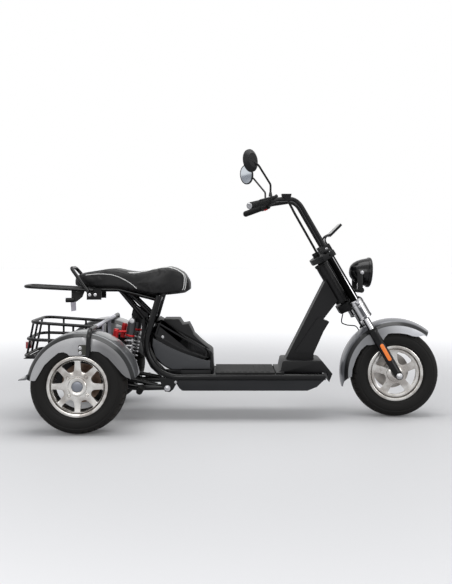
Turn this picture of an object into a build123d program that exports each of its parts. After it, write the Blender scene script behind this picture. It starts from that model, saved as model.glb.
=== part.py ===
"""Three-wheeled electric scooter: one steered wheel in front and two wheels behind.

Millimetres. The origin is on the floor under the middle of the scooter. +X points
forward, +Y to the rider's left and +Z up, so the side outlines below are (x, z) points.
"""
import os
from math import cos, radians, sin, tan

from build123d import *

os.makedirs("parts", exist_ok=True)

# Wheels and layout
WHEELBASE = 1550.0
REAR_TRACK = 680.0
FRONT_AXLE_X = 837.0
TYRE_RADIUS = 225.0
BEAD_RADIUS = 127.0
RIM_RADIUS = 141.0
FRONT_TYRE_WIDTH = 110.0
REAR_TYRE_WIDTH = 130.0
AXLE_Z = TYRE_RADIUS
REAR_AXLE_X = FRONT_AXLE_X - WHEELBASE
REAR_WHEEL_Y = REAR_TRACK / 2
REAR_END_X = -(FRONT_AXLE_X + TYRE_RADIUS)

# Steering: the head leans back by the rake, and the axle sits ahead of the steering axis
RAKE = 30.0
FORK_OFFSET = 46.0
FORK_SPACING = 200.0

# Clearances: between seated pieces, along a swinging edge, and round a turning wheel
SEAT_GAP = 0.3
RUN_GAP = 5.0
TYRE_GAP = 7.0

UP = Vector(-sin(radians(RAKE)), 0, cos(radians(RAKE)))
AHEAD = Vector(cos(radians(RAKE)), 0, sin(radians(RAKE)))
FRONT_AXLE = Vector(FRONT_AXLE_X, 0, AXLE_Z)
HEAD = Plane(origin=FRONT_AXLE - AHEAD * FORK_OFFSET, x_dir=AHEAD, z_dir=UP)
FORK_Y = FORK_SPACING / 2


def at_head(forward, side, height):
    """A point ahead of, beside and along the steering axis."""
    return HEAD.from_local_coords((forward, side, height))


def side_face(points, rounding=0.0):
    """A face in the side view, with its corners rounded where a radius is given."""
    face = make_face(Polyline(*[(x, 0, z) for x, z in points], close=True))
    return fillet(face.vertices(), rounding) if rounding else face


def slab(points, half_width, middle=0.0, rounding=0.0):
    """A side outline made solid across the scooter."""
    return Pos(0, middle, 0) * extrude(side_face(points, rounding), half_width, both=True)


def block(x0, x1, y0, y1, z0, z1):
    """A box between two corners."""
    return Pos((x0 + x1) / 2, (y0 + y1) / 2, (z0 + z1) / 2) * Box(x1 - x0, y1 - y0, z1 - z0)


def rod(start, end, radius, end_radius=None):
    """A round bar, or a cone, from one point to another."""
    start = Vector(start)
    along = Vector(end) - start
    stand = (Align.CENTER, Align.CENTER, Align.MIN)
    if end_radius is None:
        shape = Cylinder(radius, along.length, align=stand)
    else:
        shape = Cone(radius, end_radius, along.length, align=stand)
    return Plane(origin=start, z_dir=along) * shape


def across(x, z, radius, y0, y1):
    """A round bar that lies across the scooter."""
    return rod((x, y0, z), (x, y1, z), radius)


def upright(forward, side, low, high, radius):
    """A round bar that stands parallel to the steering axis."""
    return rod(at_head(forward, side, low), at_head(forward, side, high), radius)


def pipe(points, bends, radius):
    """A bent tube: straight runs joined by arcs of the given radii."""
    path = FilletPolyline(*points, radius=bends)
    return sweep(Plane(origin=path @ 0, z_dir=path % 0) * Circle(radius), path=path)


def mirrored(shape):
    """The same piece on the other side of the scooter."""
    return mirror(shape, about=Plane.XZ)


def pair(shape):
    """A piece on the right with its mirror image on the left, as two solids."""
    return Compound([shape, mirrored(shape)])


def save(name, shape):
    """Write one sub-part to its own file."""
    export_step(shape, f"parts/{name}.step")


# Main frame: on each side one tube runs down from the seat, round the case and along the deck
FRAME_TUBE_R = 16.0
FRAME_Y = 120.0
RAIL_Z = 221.0
RAIL_FRONT_X = 468.0
BOW_TOP_X = -363.6
BOW_TOP_Z = 626.0
BOW_BEND = 164.0
BOW_LEAN = 16.2
CROSS_TUBE_R = 14.0
FRONT_CROSS_X = 450.0
REAR_CROSS_X = -300.0
PIVOT_X = -320.0
PIVOT_Z = 168.0
PIVOT_R = 11.0
PIVOT_PLATE = 6.0
RAIL_TOP = RAIL_Z + FRAME_TUBE_R
RAIL_UNDER = RAIL_Z - FRAME_TUBE_R
FRAME_INNER_Y = FRAME_Y - FRAME_TUBE_R - SEAT_GAP


def bow_x(z):
    """Where the straight upper part of the frame tube is at a height."""
    return BOW_TOP_X - tan(radians(BOW_LEAN)) * (BOW_TOP_Z - z)


def main_frame():
    """Both side tubes with their cross tubes and the plates that hold the swingarm pivot."""
    side = pipe([(BOW_TOP_X, -FRAME_Y, BOW_TOP_Z), (bow_x(RAIL_Z), -FRAME_Y, RAIL_Z),
                 (RAIL_FRONT_X, -FRAME_Y, RAIL_Z)], [BOW_BEND], FRAME_TUBE_R)
    plate = slab([(PIVOT_X - 45, RAIL_Z - 2), (PIVOT_X + 58, RAIL_Z - 8), (PIVOT_X + 28, PIVOT_Z - 8),
                  (PIVOT_X + 11, PIVOT_Z - 21), (PIVOT_X - 12, PIVOT_Z - 19), (PIVOT_X - 25, PIVOT_Z + 2)],
                 PIVOT_PLATE / 2, -FRAME_Y - 6)
    side += plate - across(PIVOT_X, PIVOT_Z, PIVOT_R + SEAT_GAP, -FRAME_Y - 20, -FRAME_Y + 20)
    frame = side + mirrored(side)
    for x in (FRONT_CROSS_X, REAR_CROSS_X):
        frame += across(x, RAIL_Z, CROSS_TUBE_R, -FRAME_Y, FRAME_Y)
    return frame


save("main_frame", main_frame())

# Head tube and neck: a welded box beam that rises from the deck's front to the head
HEAD_TUBE_R = 33.0
STEM_R = 15.0
HEAD_BOTTOM = 448.0
HEAD_TOP = 672.0
NECK_HALF = 42.0
PLINTH_TOP = 297.6
NECK_FOOT = PLINTH_TOP + SEAT_GAP
NECK_COVER = 5.0


def neck():
    """The beam with its open notch behind the head, and the head tube bored for the stem."""
    top = at_head(8 - HEAD_TUBE_R, 0, HEAD_TOP - 84)
    low = at_head(8 - HEAD_TUBE_R, 0, HEAD_BOTTOM + 20)
    beam = slab([(276, NECK_FOOT), (474, 688), (top.X, top.Z), (low.X, low.Z), (468, 499), (500, 488),
                 (470, 439), (419, 325), (419, NECK_FOOT)], NECK_HALF)
    tube = upright(0, 0, HEAD_BOTTOM, HEAD_TOP, HEAD_TUBE_R)
    for height in (HEAD_BOTTOM, HEAD_TOP - 12):
        tube += upright(0, 0, height, height + 12, HEAD_TUBE_R + 3)
    return beam + tube - upright(0, 0, HEAD_BOTTOM - 60, HEAD_TOP + 60, STEM_R + SEAT_GAP)


def neck_cover():
    """A raised panel on the lower part of one flank of the beam."""
    outline = [(318, 330), (437, 505), (455, 512), (492, 480), (462, 439), (413, 330)]
    return slab(outline, NECK_COVER / 2, -(NECK_HALF + SEAT_GAP + NECK_COVER / 2), 8)


save("neck", neck())
save("neck_covers", pair(neck_cover()))

# Deck: a fixed front with a plinth under the neck, and a footboard hinged on its left edge
DECK_HALF = 130.0
PLINTH_HALF = 100.0
DECK_THICK = 6.4
LID_REAR_X = -82.0
LID_FRONT_X = 216.0
DECK_UNDER = RAIL_TOP + SEAT_GAP
LID_UNDER = RAIL_TOP + 0.6
LID_TOP = LID_UNDER + DECK_THICK
DECK_FRONT_X = LID_FRONT_X + RUN_GAP


def front_deck():
    """The fixed step and the plinth, whose nose drops in front of the frame."""
    outline = [(DECK_FRONT_X + 10, DECK_UNDER), (DECK_FRONT_X + 10, LID_TOP), (246, 250), (256, PLINTH_TOP),
               (454, PLINTH_TOP), (507, 232), (490, 190), (478, DECK_UNDER)]
    plinth = slab(outline, PLINTH_HALF)
    plinth = chamfer(plinth.edges().filter_by(Axis.Y).group_by(Axis.Z)[-1], 6)
    step = block(DECK_FRONT_X, 262, -DECK_HALF, DECK_HALF, DECK_UNDER, LID_TOP)
    return plinth + step


def footboard():
    """The lid over the battery, a ribbed tread plate with a turned-down right edge."""
    plate = block(LID_REAR_X, LID_FRONT_X, -DECK_HALF, DECK_HALF - 2, LID_UNDER, LID_TOP)
    rib_count = 9
    pitch = (LID_FRONT_X - LID_REAR_X - 40) / rib_count
    for number in range(rib_count):
        x = LID_REAR_X + 20 + pitch * (number + 0.5)
        plate += block(x - pitch * 0.3, x + pitch * 0.3, -DECK_HALF + 18, DECK_HALF - 20, LID_TOP,
                       LID_TOP + 1.6)
    return plate


save("front_deck", front_deck())
save("footboard", footboard())

# Belly pan: a tray hung between the rails that holds the battery
PAN_REAR_X = -279.0
PAN_FRONT_X = 462.0
PAN_BOTTOM = 151.0
PAN_HALF = FRAME_Y
PAN_WALL = 3.0
BATTERY_LONG = 250.0
BATTERY_WIDE = 176.0
BATTERY_TALL = 68.0
TRAY_GAP = 4.0
BATTERY_X = (LID_REAR_X + LID_FRONT_X) / 2


def belly_pan():
    """The tray: tapered ends, a flange against the rails and an open well for the battery."""
    rim = RAIL_UNDER - SEAT_GAP
    low = [(PAN_REAR_X, rim), (PAN_REAR_X, 190), (PAN_REAR_X + 17, 163), (PAN_REAR_X + 31, PAN_BOTTOM),
           (PAN_FRONT_X - 84, PAN_BOTTOM), (PAN_FRONT_X - 36, 170), (PAN_FRONT_X, rim)]
    high = [(PAN_REAR_X + 10, rim), (PAN_REAR_X + 10, 232), (FRONT_CROSS_X - 20, 232),
            (FRONT_CROSS_X - 20, rim)]
    pan = slab(low, PAN_HALF) + slab(high, FRAME_INNER_Y - 3)
    pan -= across(REAR_CROSS_X, RAIL_Z, CROSS_TUBE_R + 1, -PAN_HALF - 10, PAN_HALF + 10)
    floor = PAN_BOTTOM + PAN_WALL
    half_long = BATTERY_LONG / 2 + TRAY_GAP
    half_wide = BATTERY_WIDE / 2 + TRAY_GAP
    return pan - block(BATTERY_X - half_long, BATTERY_X + half_long, -half_wide, half_wide, floor, RAIL_TOP)


def battery():
    """The battery, one plain block on the floor of the tray."""
    floor = PAN_BOTTOM + PAN_WALL + SEAT_GAP
    return block(BATTERY_X - BATTERY_LONG / 2, BATTERY_X + BATTERY_LONG / 2, -BATTERY_WIDE / 2,
                 BATTERY_WIDE / 2,
                 floor, floor + BATTERY_TALL)


save("belly_pan", belly_pan())
save("battery", battery())

# Case under the seat, between the frame tubes
CASE_HALF = 101.0
CASE_FLOOR = 255.0
CASE_FRONT_X = -106.0
CASE_TOP = (-376.0, 507.0)
CASE_NOSE_Z = 347.0
PANEL = 7.0
COVER_HALF = 70.0
FIN = 14.7
SWELL = [(-300, CASE_FLOOR), (-345, 276), (-385, 320), (-400, 372)]


def controller_case():
    """The dark housing of the controller, with a raised border round each flank."""
    outline = [CASE_TOP, (CASE_FRONT_X, CASE_NOSE_Z), (CASE_FRONT_X, CASE_FLOOR)] + SWELL + [(-398, 425)]
    return slab(outline, CASE_HALF)


def side_panel():
    """The grey panel on the lower part of one flank, with a long curved upper edge."""
    top = ThreePointArc((-395, 0, 414), (-262, 0, 346), (-123, 0, 301))
    lower = Polyline((-123, 0, 301), (CASE_FRONT_X - 2, 0, 301), (CASE_FRONT_X - 2, 0, CASE_FLOOR + 2),
                     *[(x + 2, 0, z + 2) for x, z in SWELL], (-395, 0, 414))
    face = make_face(top + lower)
    middle = -(CASE_HALF + SEAT_GAP + PANEL / 2)
    return Pos(0, middle, 0) * extrude(face, PANEL / 2, both=True)


def upper_panel():
    """The dark raised plate above the grey panel."""
    outline = [(-366, 492), (-124, 348), (-126, 310), (-254, 352), (-388, 424)]
    return slab(outline, PANEL / 2, -(CASE_HALF + SEAT_GAP + PANEL / 2), 6)


def case_cover():
    """The stepped cover on the sloping top of the case."""
    outline = [(-344, 470), (-344, 504), (-268, 504), (-249, 476), (-219, 481), (-199, 442), (-193, 425),
               (-159, 392), (-112, 352), (-150, 340)]
    case = controller_case()
    return slab(outline, COVER_HALF) - case - Pos(0, 0, SEAT_GAP) * case


def rear_deck():
    """The ledge that the case stands on, with the fin that closes it against the footboard."""
    floor = CASE_FLOOR - SEAT_GAP
    ledge = block(-318, CASE_FRONT_X, -FRAME_INNER_Y + 0.2, FRAME_INNER_Y - 0.2, DECK_UNDER, floor)
    ledge += block(-252, CASE_FRONT_X, 4 - DECK_HALF, DECK_HALF - 4, DECK_UNDER, floor)
    fin_x = CASE_FRONT_X + SEAT_GAP
    fin = slab([(fin_x, DECK_UNDER), (fin_x + FIN, DECK_UNDER), (fin_x + FIN - 5, CASE_NOSE_Z - 12),
                (fin_x, CASE_NOSE_Z)], CASE_HALF)
    return ledge + fin + block(CASE_FRONT_X - 1, fin_x + 1, -CASE_HALF, CASE_HALF, DECK_UNDER, floor)


save("controller_case", controller_case())
save("side_panels", pair(side_panel()))
save("case_covers", Compound([upper_panel(), mirrored(upper_panel()), case_cover()]))
save("rear_deck", rear_deck())

# Seat frame: rails under the seat, and two slanted struts a side tied by a holed gusset
SEAT_RAIL_Y = 55.0
SEAT_RAIL_R = 11.0
SEAT_RAIL_Z = 654.2
SEAT_RAIL_REAR_X = -692.0
SEAT_RAIL_BEND_X = -577.0
SEAT_CROSS_X = -376.0
SEAT_CROSS_Z = 603.0
STRUT_R = 10.0
STRUT_Y = 38.0
STRUT_TIE_R = 12.0
SHOCK_TOP = Vector(-494, -138, 505)
SHOCK_FOOT = Vector(-540, -138, 214)
SHOCK_EYE_R = 14.0
STRUTS = [((-571, 650), (-415, 462)), ((-528, 640), (-402, 516))]


def seat_frame():
    """The rails, their cross tubes, the struts and the gussets that carry the shocks."""
    side = pipe([(SEAT_RAIL_REAR_X, -SEAT_RAIL_Y, SEAT_RAIL_Z),
                 (SEAT_RAIL_BEND_X, -SEAT_RAIL_Y, SEAT_RAIL_Z),
                 (SEAT_CROSS_X, -SEAT_RAIL_Y, SEAT_CROSS_Z)], [60], SEAT_RAIL_R)
    for (top_x, top_z), (foot_x, foot_z) in STRUTS:
        side += rod((top_x, -STRUT_Y, top_z), (foot_x, -STRUT_Y, foot_z), STRUT_R)
    side += slab([(-512, 526), (-508, 492), (-484, 486), (-424, 472), (-432, 530), (-500, 574)], 2.5,
                 -STRUT_Y, 5)
    side += across(SHOCK_TOP.X, SHOCK_TOP.Z, SHOCK_EYE_R / 2, -STRUT_Y, SHOCK_TOP.Y - SHOCK_EYE_R - 4)
    frame = side + mirrored(side)
    frame += across(SEAT_CROSS_X, SEAT_CROSS_Z, CROSS_TUBE_R, -FRAME_INNER_Y, FRAME_INNER_Y)
    for foot in (STRUTS[0][1], STRUTS[1][1]):
        frame += across(*foot, STRUT_TIE_R, -FRAME_INNER_Y, FRAME_INNER_Y)
    rear_x = SEAT_RAIL_REAR_X + 14
    return frame + across(rear_x, SEAT_RAIL_Z, SEAT_RAIL_R - 2, -SEAT_RAIL_Y, SEAT_RAIL_Y)


save("seat_frame", seat_frame())

# Seat: one long saddle in its true side outline and plan
SEAT_OUTLINE = [(-203, 652), (-208, 682), (-221, 714), (-242, 738), (-275, 757), (-316, 764), (-360, 759),
                (-420, 747), (-489, 739), (-540, 745), (-588, 756), (-640, 753), (-700, 743), (-778, 732),
                (-806, 723), (-813, 700), (-812, 669), (-577, 665.5), (-391, 632), (-341, 634), (-216, 645)]
SEAT_PLAN = [(-195, 40), (-204, 66), (-224, 90), (-257, 113), (-298, 128), (-345, 135), (-400, 134),
             (-470, 122), (-560, 104), (-640, 96), (-690, 82), (-722, 71), (-745, 62), (-769, 50),
             (-795, 34), (-820, 0)]


def seat():
    """The saddle: the side outline cut to the plan outline."""
    left = [(x, -y) for x, y in reversed(SEAT_PLAN[:-1])]
    plan = make_face(Polyline(*SEAT_PLAN, *left, close=True))
    return slab(SEAT_OUTLINE, 150) & (Pos(0, 0, SEAT_CROSS_Z) * extrude(plan, 200))


save("seat", seat())

# Rear rack: a long U tube on two bracket plates, with a grab hoop round the seat's end
RACK_R = 8.5
RACK_Y = 72.0
RACK_FRONT_X = -701.0
RACK_FRONT_Z = 651.0
RACK_REAR_Z = 670.0
RACK_PLATE_X0 = -735.0
RACK_PLATE_X1 = -661.0
RACK_PLATE_Z = 603.0
GRAB_R = 9.0
GRAB_HOOP = [(-724, -93.5, 646), (-818, -54, 763), (-818, 54, 763), (-724, 93.5, 646)]
LOCK_R = 12.0
LOCK_Z = 596.0


def grab_rack():
    """The U tube, the plates that bolt to the seat rails and a cross tube."""
    end = REAR_END_X + RACK_R
    rack = pipe([(RACK_FRONT_X, -RACK_Y, RACK_FRONT_Z), (end, -RACK_Y, RACK_REAR_Z),
                 (end, RACK_Y, RACK_REAR_Z),
                 (RACK_FRONT_X, RACK_Y, RACK_FRONT_Z)], [40, 40], RACK_R)
    inner = SEAT_RAIL_Y + SEAT_RAIL_R + SEAT_GAP
    plate = block(RACK_PLATE_X0, RACK_PLATE_X1, -RACK_Y, -inner, RACK_PLATE_Z, RACK_FRONT_Z + 8)
    return rack + plate + mirrored(plate) + across(-700, 636, 7, -RACK_Y, RACK_Y)


def seat_lock():
    """The lock barrel on its bracket under the rack, with a blank tag below it."""
    lock = slab([(-828, 646), (-758, 648), (-772, 612), (-802, 588), (-828, 590)], 3)
    lock += rod((-857, 0, LOCK_Z), (-815, 0, LOCK_Z + 1), LOCK_R)
    lock += block(-790, -770, -RACK_Y, RACK_Y, 640, 646)
    return lock + slab([(-833, 588), (-806, 592), (-804, 542), (-829, 538)], 1.5)


save("grab_rack", grab_rack())
save("grab_hoop", pipe(GRAB_HOOP, [30, 30], GRAB_R))
save("seat_lock", seat_lock())

# Basket: three tube rings with uprights and a plate floor, behind the fender hoop
BASKET_R = 8.0
BASKET_WIRE_R = 5.5
BASKET_HALF = 152.0
BASKET_CORNER = 60.0
BASKET_FRONT_X = REAR_AXLE_X + 42.5
BASKET_UPRIGHTS = [BASKET_FRONT_X - 234.5, BASKET_FRONT_X - 114.5, BASKET_FRONT_X]
BASKET_RINGS = [(497, 474, REAR_AXLE_X - 287), (412, 400, REAR_AXLE_X - 309), (328, 320, REAR_AXLE_X - 321)]
BASKET_FLOOR = 316.0
HOOP_X = REAR_AXLE_X + 61
HOOP_BAR_Z = 487.0
HOOP_R = 10.0
STRAP_Y = 140.0


def ring_height(ring, x):
    """The height of a basket ring at a place along its length."""
    rear_z, front_z, rear_x = ring
    return front_z + (rear_z - front_z) * (x - BASKET_FRONT_X) / (rear_x - BASKET_FRONT_X)


def basket():
    """The rings and their uprights, the floor, and the straps that reach the hoop's bar."""
    floor_rear_x = BASKET_RINGS[-1][2] + 4
    shape = block(floor_rear_x, BASKET_FRONT_X, -BASKET_HALF, BASKET_HALF, BASKET_FLOOR, BASKET_FLOOR + 3)
    for rear_z, front_z, rear_x in BASKET_RINGS:
        shape += pipe([(BASKET_FRONT_X, -BASKET_HALF, front_z), (rear_x, -BASKET_HALF, rear_z),
                       (rear_x, BASKET_HALF, rear_z), (BASKET_FRONT_X, BASKET_HALF, front_z)],
                      [BASKET_CORNER, BASKET_CORNER], BASKET_R)
        shape += across(BASKET_FRONT_X, front_z, BASKET_R, -BASKET_HALF - BASKET_R, BASKET_HALF + BASKET_R)
    top_ring = BASKET_RINGS[0]
    low_ring = BASKET_RINGS[-1]
    strap_top = HOOP_BAR_Z - HOOP_R - SEAT_GAP
    for side in (-1, 1):
        for x in BASKET_UPRIGHTS:
            shape += rod((x, side * BASKET_HALF, ring_height(low_ring, x)),
                         (x, side * BASKET_HALF, ring_height(top_ring, x)), BASKET_WIRE_R)
        y = side * STRAP_Y
        shape += block(BASKET_FRONT_X - 4, HOOP_X + 6, y - 8, y + 8, strap_top - 14, strap_top)
    for y in (-80, 0, 80):
        shape += rod((low_ring[2], y, low_ring[0]), (top_ring[2], y, top_ring[0]), BASKET_WIRE_R)
    return shape


def tail_light():
    """The lamp behind the basket's lower ring."""
    front = BASKET_RINGS[-1][2] - 1.2
    lens = block(front - 21, front, -36, 36, 350, 384)
    return chamfer(lens.edges().filter_by(Axis.Z).group_by(Axis.X)[0], 6)


save("basket", basket())
save("tail_light", tail_light())

# Fenders: a bowed crown between two sloping shoulders, turned about an axle, with flat skirts below
FENDER_WALL = 3.0
BEVEL_SHIFT = FENDER_WALL * tan(radians(22.5))
SKIRT_LAP = 6.0
REAR_FENDER_X = REAR_AXLE_X + 20
REAR_FENDER_Z = AXLE_Z - 4
REAR_FENDER_INNER_Y = REAR_WHEEL_Y - 110
REAR_FENDER_OUTER_Y = REAR_WHEEL_Y + REAR_TYRE_WIDTH / 2 + TYRE_GAP + FENDER_WALL
REAR_CREASE_R = 236.0
REAR_EDGE_R = 254.0
REAR_CROWN_R = 257.0
REAR_SHOULDER = 20.0
REAR_FENDER_FROM = 10.8
REAR_FENDER_SPAN = 160.5
REAR_SKIRT = [(232, 44), (208, 53), (190, 68), (164, 98), (126, 140), (84, 168), (52, 172), (31, 151),
              (-52, 151), (-60, 160), (-79, 167), (-102, 163), (-135, 136), (-166, 106), (-188, 68),
              (-207, 36), (-233, 35.6)]
REAR_LIP = [(-250, 60), (-259, 46), (-287, 39), (-287, 35), (-254, 37), (-246, 48)]
FRONT_FENDER_HALF = 70.0
FRONT_CREASE_R = 248.0
FRONT_EDGE_R = 267.0
FRONT_CROWN_R = 279.0
FRONT_SHOULDER = 20.0
FRONT_FENDER_FROM = 51.5
FRONT_FENDER_SPAN = 143.5
FRONT_SKIRT = [(154.4, 194.1), (134, 196), (108, 190), (81, 193), (52, 203), (17, 208), (-28, 208),
               (-44, 205),
               (-62, 184), (-69, 169), (-88, 156), (-112, 152), (-132, 148), (-154, 148), (-182, 123),
               (-207, 77), (-225, 24), (-228, -12), (-247.1, -20.8)]
TONGUE = [(72, -17), (72, -90), (14, -90), (26, -66), (48, -40)]
FENDER_BOSS_HEIGHT = 232.0
FENDER_BOSS_R = 10.0
SLIDER_R = 22.5


def fender_section(crease_r, edge_r, crown_r, y0, y1, shoulder):
    """The section of the crown and its shoulders, with a short lip for each skirt."""
    middle = (y0 + y1) / 2
    wall = FENDER_WALL
    inset = shoulder + BEVEL_SHIFT
    outside = Polyline((crease_r - SKIRT_LAP, y0), (crease_r, y0), (edge_r, y0 + shoulder))
    outside += ThreePointArc((edge_r, y0 + shoulder), (crown_r, middle), (edge_r, y1 - shoulder))
    outside += Polyline((edge_r, y1 - shoulder), (crease_r, y1), (crease_r - SKIRT_LAP, y1))
    inside = Polyline((crease_r - SKIRT_LAP, y1), (crease_r - SKIRT_LAP, y1 - wall),
                      (crease_r - BEVEL_SHIFT, y1 - wall), (edge_r - wall, y1 - inset))
    inside += ThreePointArc((edge_r - wall, y1 - inset), (crown_r - wall, middle),
                            (edge_r - wall, y0 + inset))
    inside += Polyline((edge_r - wall, y0 + inset), (crease_r - BEVEL_SHIFT, y0 + wall),
                       (crease_r - SKIRT_LAP, y0 + wall), (crease_r - SKIRT_LAP, y0))
    return make_face(outside + inside)


def turned_arc(section, from_angle, span):
    """A section swept about an axis across the scooter, from one angle above level to another."""
    return Rot(0, -from_angle, 0) * revolve(section, axis=Axis((0, 0, 0), (0, -1, 0)), revolution_arc=span)


def skirt(points, crease_r, y):
    """A flat skirt: its lower edge as drawn and its upper edge along the crease."""
    first, last = points[0], points[-1]
    top = ThreePointArc((last[0], 0, last[1]), (0, 0, crease_r), (first[0], 0, first[1]))
    face = make_face(Polyline(*[(x, 0, z) for x, z in points]) + top)
    return Pos(0, y, 0) * extrude(face, FENDER_WALL / 2, both=True)


def rear_fender():
    """The right rear fender: its skirts widen where the bracket bolts on, and its rear edge flares out."""
    outer_y = -REAR_FENDER_OUTER_Y
    inner_y = -REAR_FENDER_INNER_Y
    section = fender_section(REAR_CREASE_R, REAR_EDGE_R, REAR_CROWN_R, outer_y, inner_y, REAR_SHOULDER)
    shape = turned_arc(section, REAR_FENDER_FROM, REAR_FENDER_SPAN)
    for y in (outer_y + FENDER_WALL / 2, inner_y - FENDER_WALL / 2):
        shape += skirt(REAR_SKIRT, REAR_CREASE_R, y)
    lip_half = (inner_y - outer_y) / 2 - REAR_SHOULDER / 2
    shape += slab(REAR_LIP, lip_half, (inner_y + outer_y) / 2)
    return Pos(REAR_FENDER_X, 0, REAR_FENDER_Z) * shape


def front_fender():
    """The front fender: a tongue at its rear end, and a boss on each side that bolts to the fork."""
    half = FRONT_FENDER_HALF
    section = fender_section(FRONT_CREASE_R, FRONT_EDGE_R, FRONT_CROWN_R, -half, half, FRONT_SHOULDER)
    shape = turned_arc(section, FRONT_FENDER_FROM, FRONT_FENDER_SPAN)
    for side in (-1, 1):
        shape += skirt(FRONT_SKIRT, FRONT_CREASE_R, side * (half - FENDER_WALL / 2))
        corner = make_face(Polyline(*[(0, side * y, z) for y, z in TONGUE], close=True))
        shape -= extrude(Pos(-FRONT_CROWN_R - 10, 0, 0) * corner, FRONT_CROWN_R - 100, dir=(1, 0, 0))
    shape = Pos(FRONT_AXLE_X, 0, AXLE_Z) * shape
    for side in (-1, 1):
        shape += rod(at_head(FORK_OFFSET, side * (half - 2), FENDER_BOSS_HEIGHT),
                     at_head(FORK_OFFSET, side * (FORK_Y - SLIDER_R - SEAT_GAP), FENDER_BOSS_HEIGHT),
                     FENDER_BOSS_R)
    return shape


save("rear_fender_right", rear_fender())
save("rear_fender_left", mirrored(rear_fender()))
save("front_fender", front_fender())

# Fender hoop: an upright tube over both rear wheels that carries the fenders and the basket
HOOP_LEG_Y = REAR_FENDER_OUTER_Y + 12
HOOP_FOOT_Z = 372.0
HOOP_LEAN = 6.0
STAY_Y = 105.0
STAY_R = 9.0
ARM_Y = 105.0
ARM_R = 15.0
ARM_Z = 165.0
UPPER_BAR_R = 10.0
HOUSING_R = 34.0
HOUSING_HALF = REAR_WHEEL_Y - 102
SHAFT_R = 14.0
REAR_SHAFT_END = REAR_WHEEL_Y + 44
GEAR_CASE_R = 80.0
MOTOR_SETBACK = 150.0
MOTOR_R = 62.0
PEG_X = -450.0
PEG_Z = 168.0
PEG_R = 16.0
PEG_END_Y = 215.0


def fender_hoop():
    """The bent tube, its fender brackets and the two stays down to the swingarm."""
    foot_x = HOOP_X - HOOP_LEAN
    hoop = pipe([(foot_x, -HOOP_LEG_Y, HOOP_FOOT_Z), (HOOP_X, -HOOP_LEG_Y, HOOP_BAR_Z),
                 (HOOP_X, HOOP_LEG_Y, HOOP_BAR_Z), (foot_x, HOOP_LEG_Y, HOOP_FOOT_Z)], [34, 34], HOOP_R)
    x0 = HOOP_X - 51
    x1 = HOOP_X + 6
    bracket = slab([(x0, HOOP_FOOT_Z + 3), (x1, HOOP_FOOT_Z + 3), (x1, 421), (x0, 421)], 1.5,
                   -(REAR_FENDER_OUTER_Y + SEAT_GAP + 1.5), 8)
    hoop += bracket + mirrored(bracket)
    for side in (-1, 1):
        foot_z = AXLE_Z + 8.5 + UPPER_BAR_R - 1.3
        hoop += rod((HOOP_X, side * STAY_Y, HOOP_BAR_Z), (HOOP_X + 12, side * STAY_Y, foot_z), STAY_R)
    return hoop


def swingarm():
    """Both arms with their raised second bars, the pivot tube and a tie tube."""
    arm = pipe([(PIVOT_X, -ARM_Y, PIVOT_Z), (-480, -ARM_Y, ARM_Z), (REAR_AXLE_X + HOUSING_R, -ARM_Y, 205)],
               [200], ARM_R)
    arm += rod((PIVOT_X - 52, -ARM_Y, PIVOT_Z + 10), (REAR_AXLE_X + 20, -ARM_Y, AXLE_Z + 15), UPPER_BAR_R)
    arm += slab([(-585, 160), (-470, 166), (-500, 205), (-570, 218)], 3, -ARM_Y)
    frame = arm + mirrored(arm)
    frame += across(PIVOT_X, PIVOT_Z, PIVOT_R, -FRAME_Y - 18, FRAME_Y + 18)
    frame += across(-500, ARM_Z, 12, -ARM_Y, ARM_Y)
    return frame - across(REAR_AXLE_X, AXLE_Z, HOUSING_R + SEAT_GAP, -HOUSING_HALF, HOUSING_HALF)


def rear_axle():
    """The axle housing with the gear case, the motor ahead of it and the two shafts."""
    shape = across(REAR_AXLE_X, AXLE_Z, HOUSING_R, -HOUSING_HALF, HOUSING_HALF)
    shape += across(REAR_AXLE_X, AXLE_Z, SHAFT_R, -REAR_SHAFT_END, REAR_SHAFT_END)
    shape += across(REAR_AXLE_X, AXLE_Z, GEAR_CASE_R, -60, 60)
    motor_x = REAR_AXLE_X - MOTOR_SETBACK
    shape += across(motor_x, AXLE_Z + 10, MOTOR_R, -70, 110)
    return shape + block(motor_x, REAR_AXLE_X, -50, 50, AXLE_Z - 40, AXLE_Z + 50)


save("fender_hoop", fender_hoop())
save("swingarm", swingarm())
save("rear_axle", rear_axle())
save("foot_pegs", pair(across(PEG_X, PEG_Z, PEG_R, -PEG_END_Y, -ARM_Y - ARM_R - 2 * SEAT_GAP)))

# Shock absorbers from the seat frame down to the swingarm, each with a canister beside it
SHOCK_AXIS = (SHOCK_FOOT - SHOCK_TOP).normalized()
SHOCK_LENGTH = (SHOCK_FOOT - SHOCK_TOP).length
SHOCK_ROD_R = 8.0
COLLAR_FROM = 70.5
COLLAR_THICK = 9.0
COIL_COUNT = 7
COIL_R = 20.0
COIL_WIRE_R = 4.5
CANISTER_R = 14.0
CANISTER_BACK = Vector(-72, 0, 0)


def on_shock(distance):
    """A point down the shock's axis from its upper eye."""
    return SHOCK_TOP + SHOCK_AXIS * distance


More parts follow.
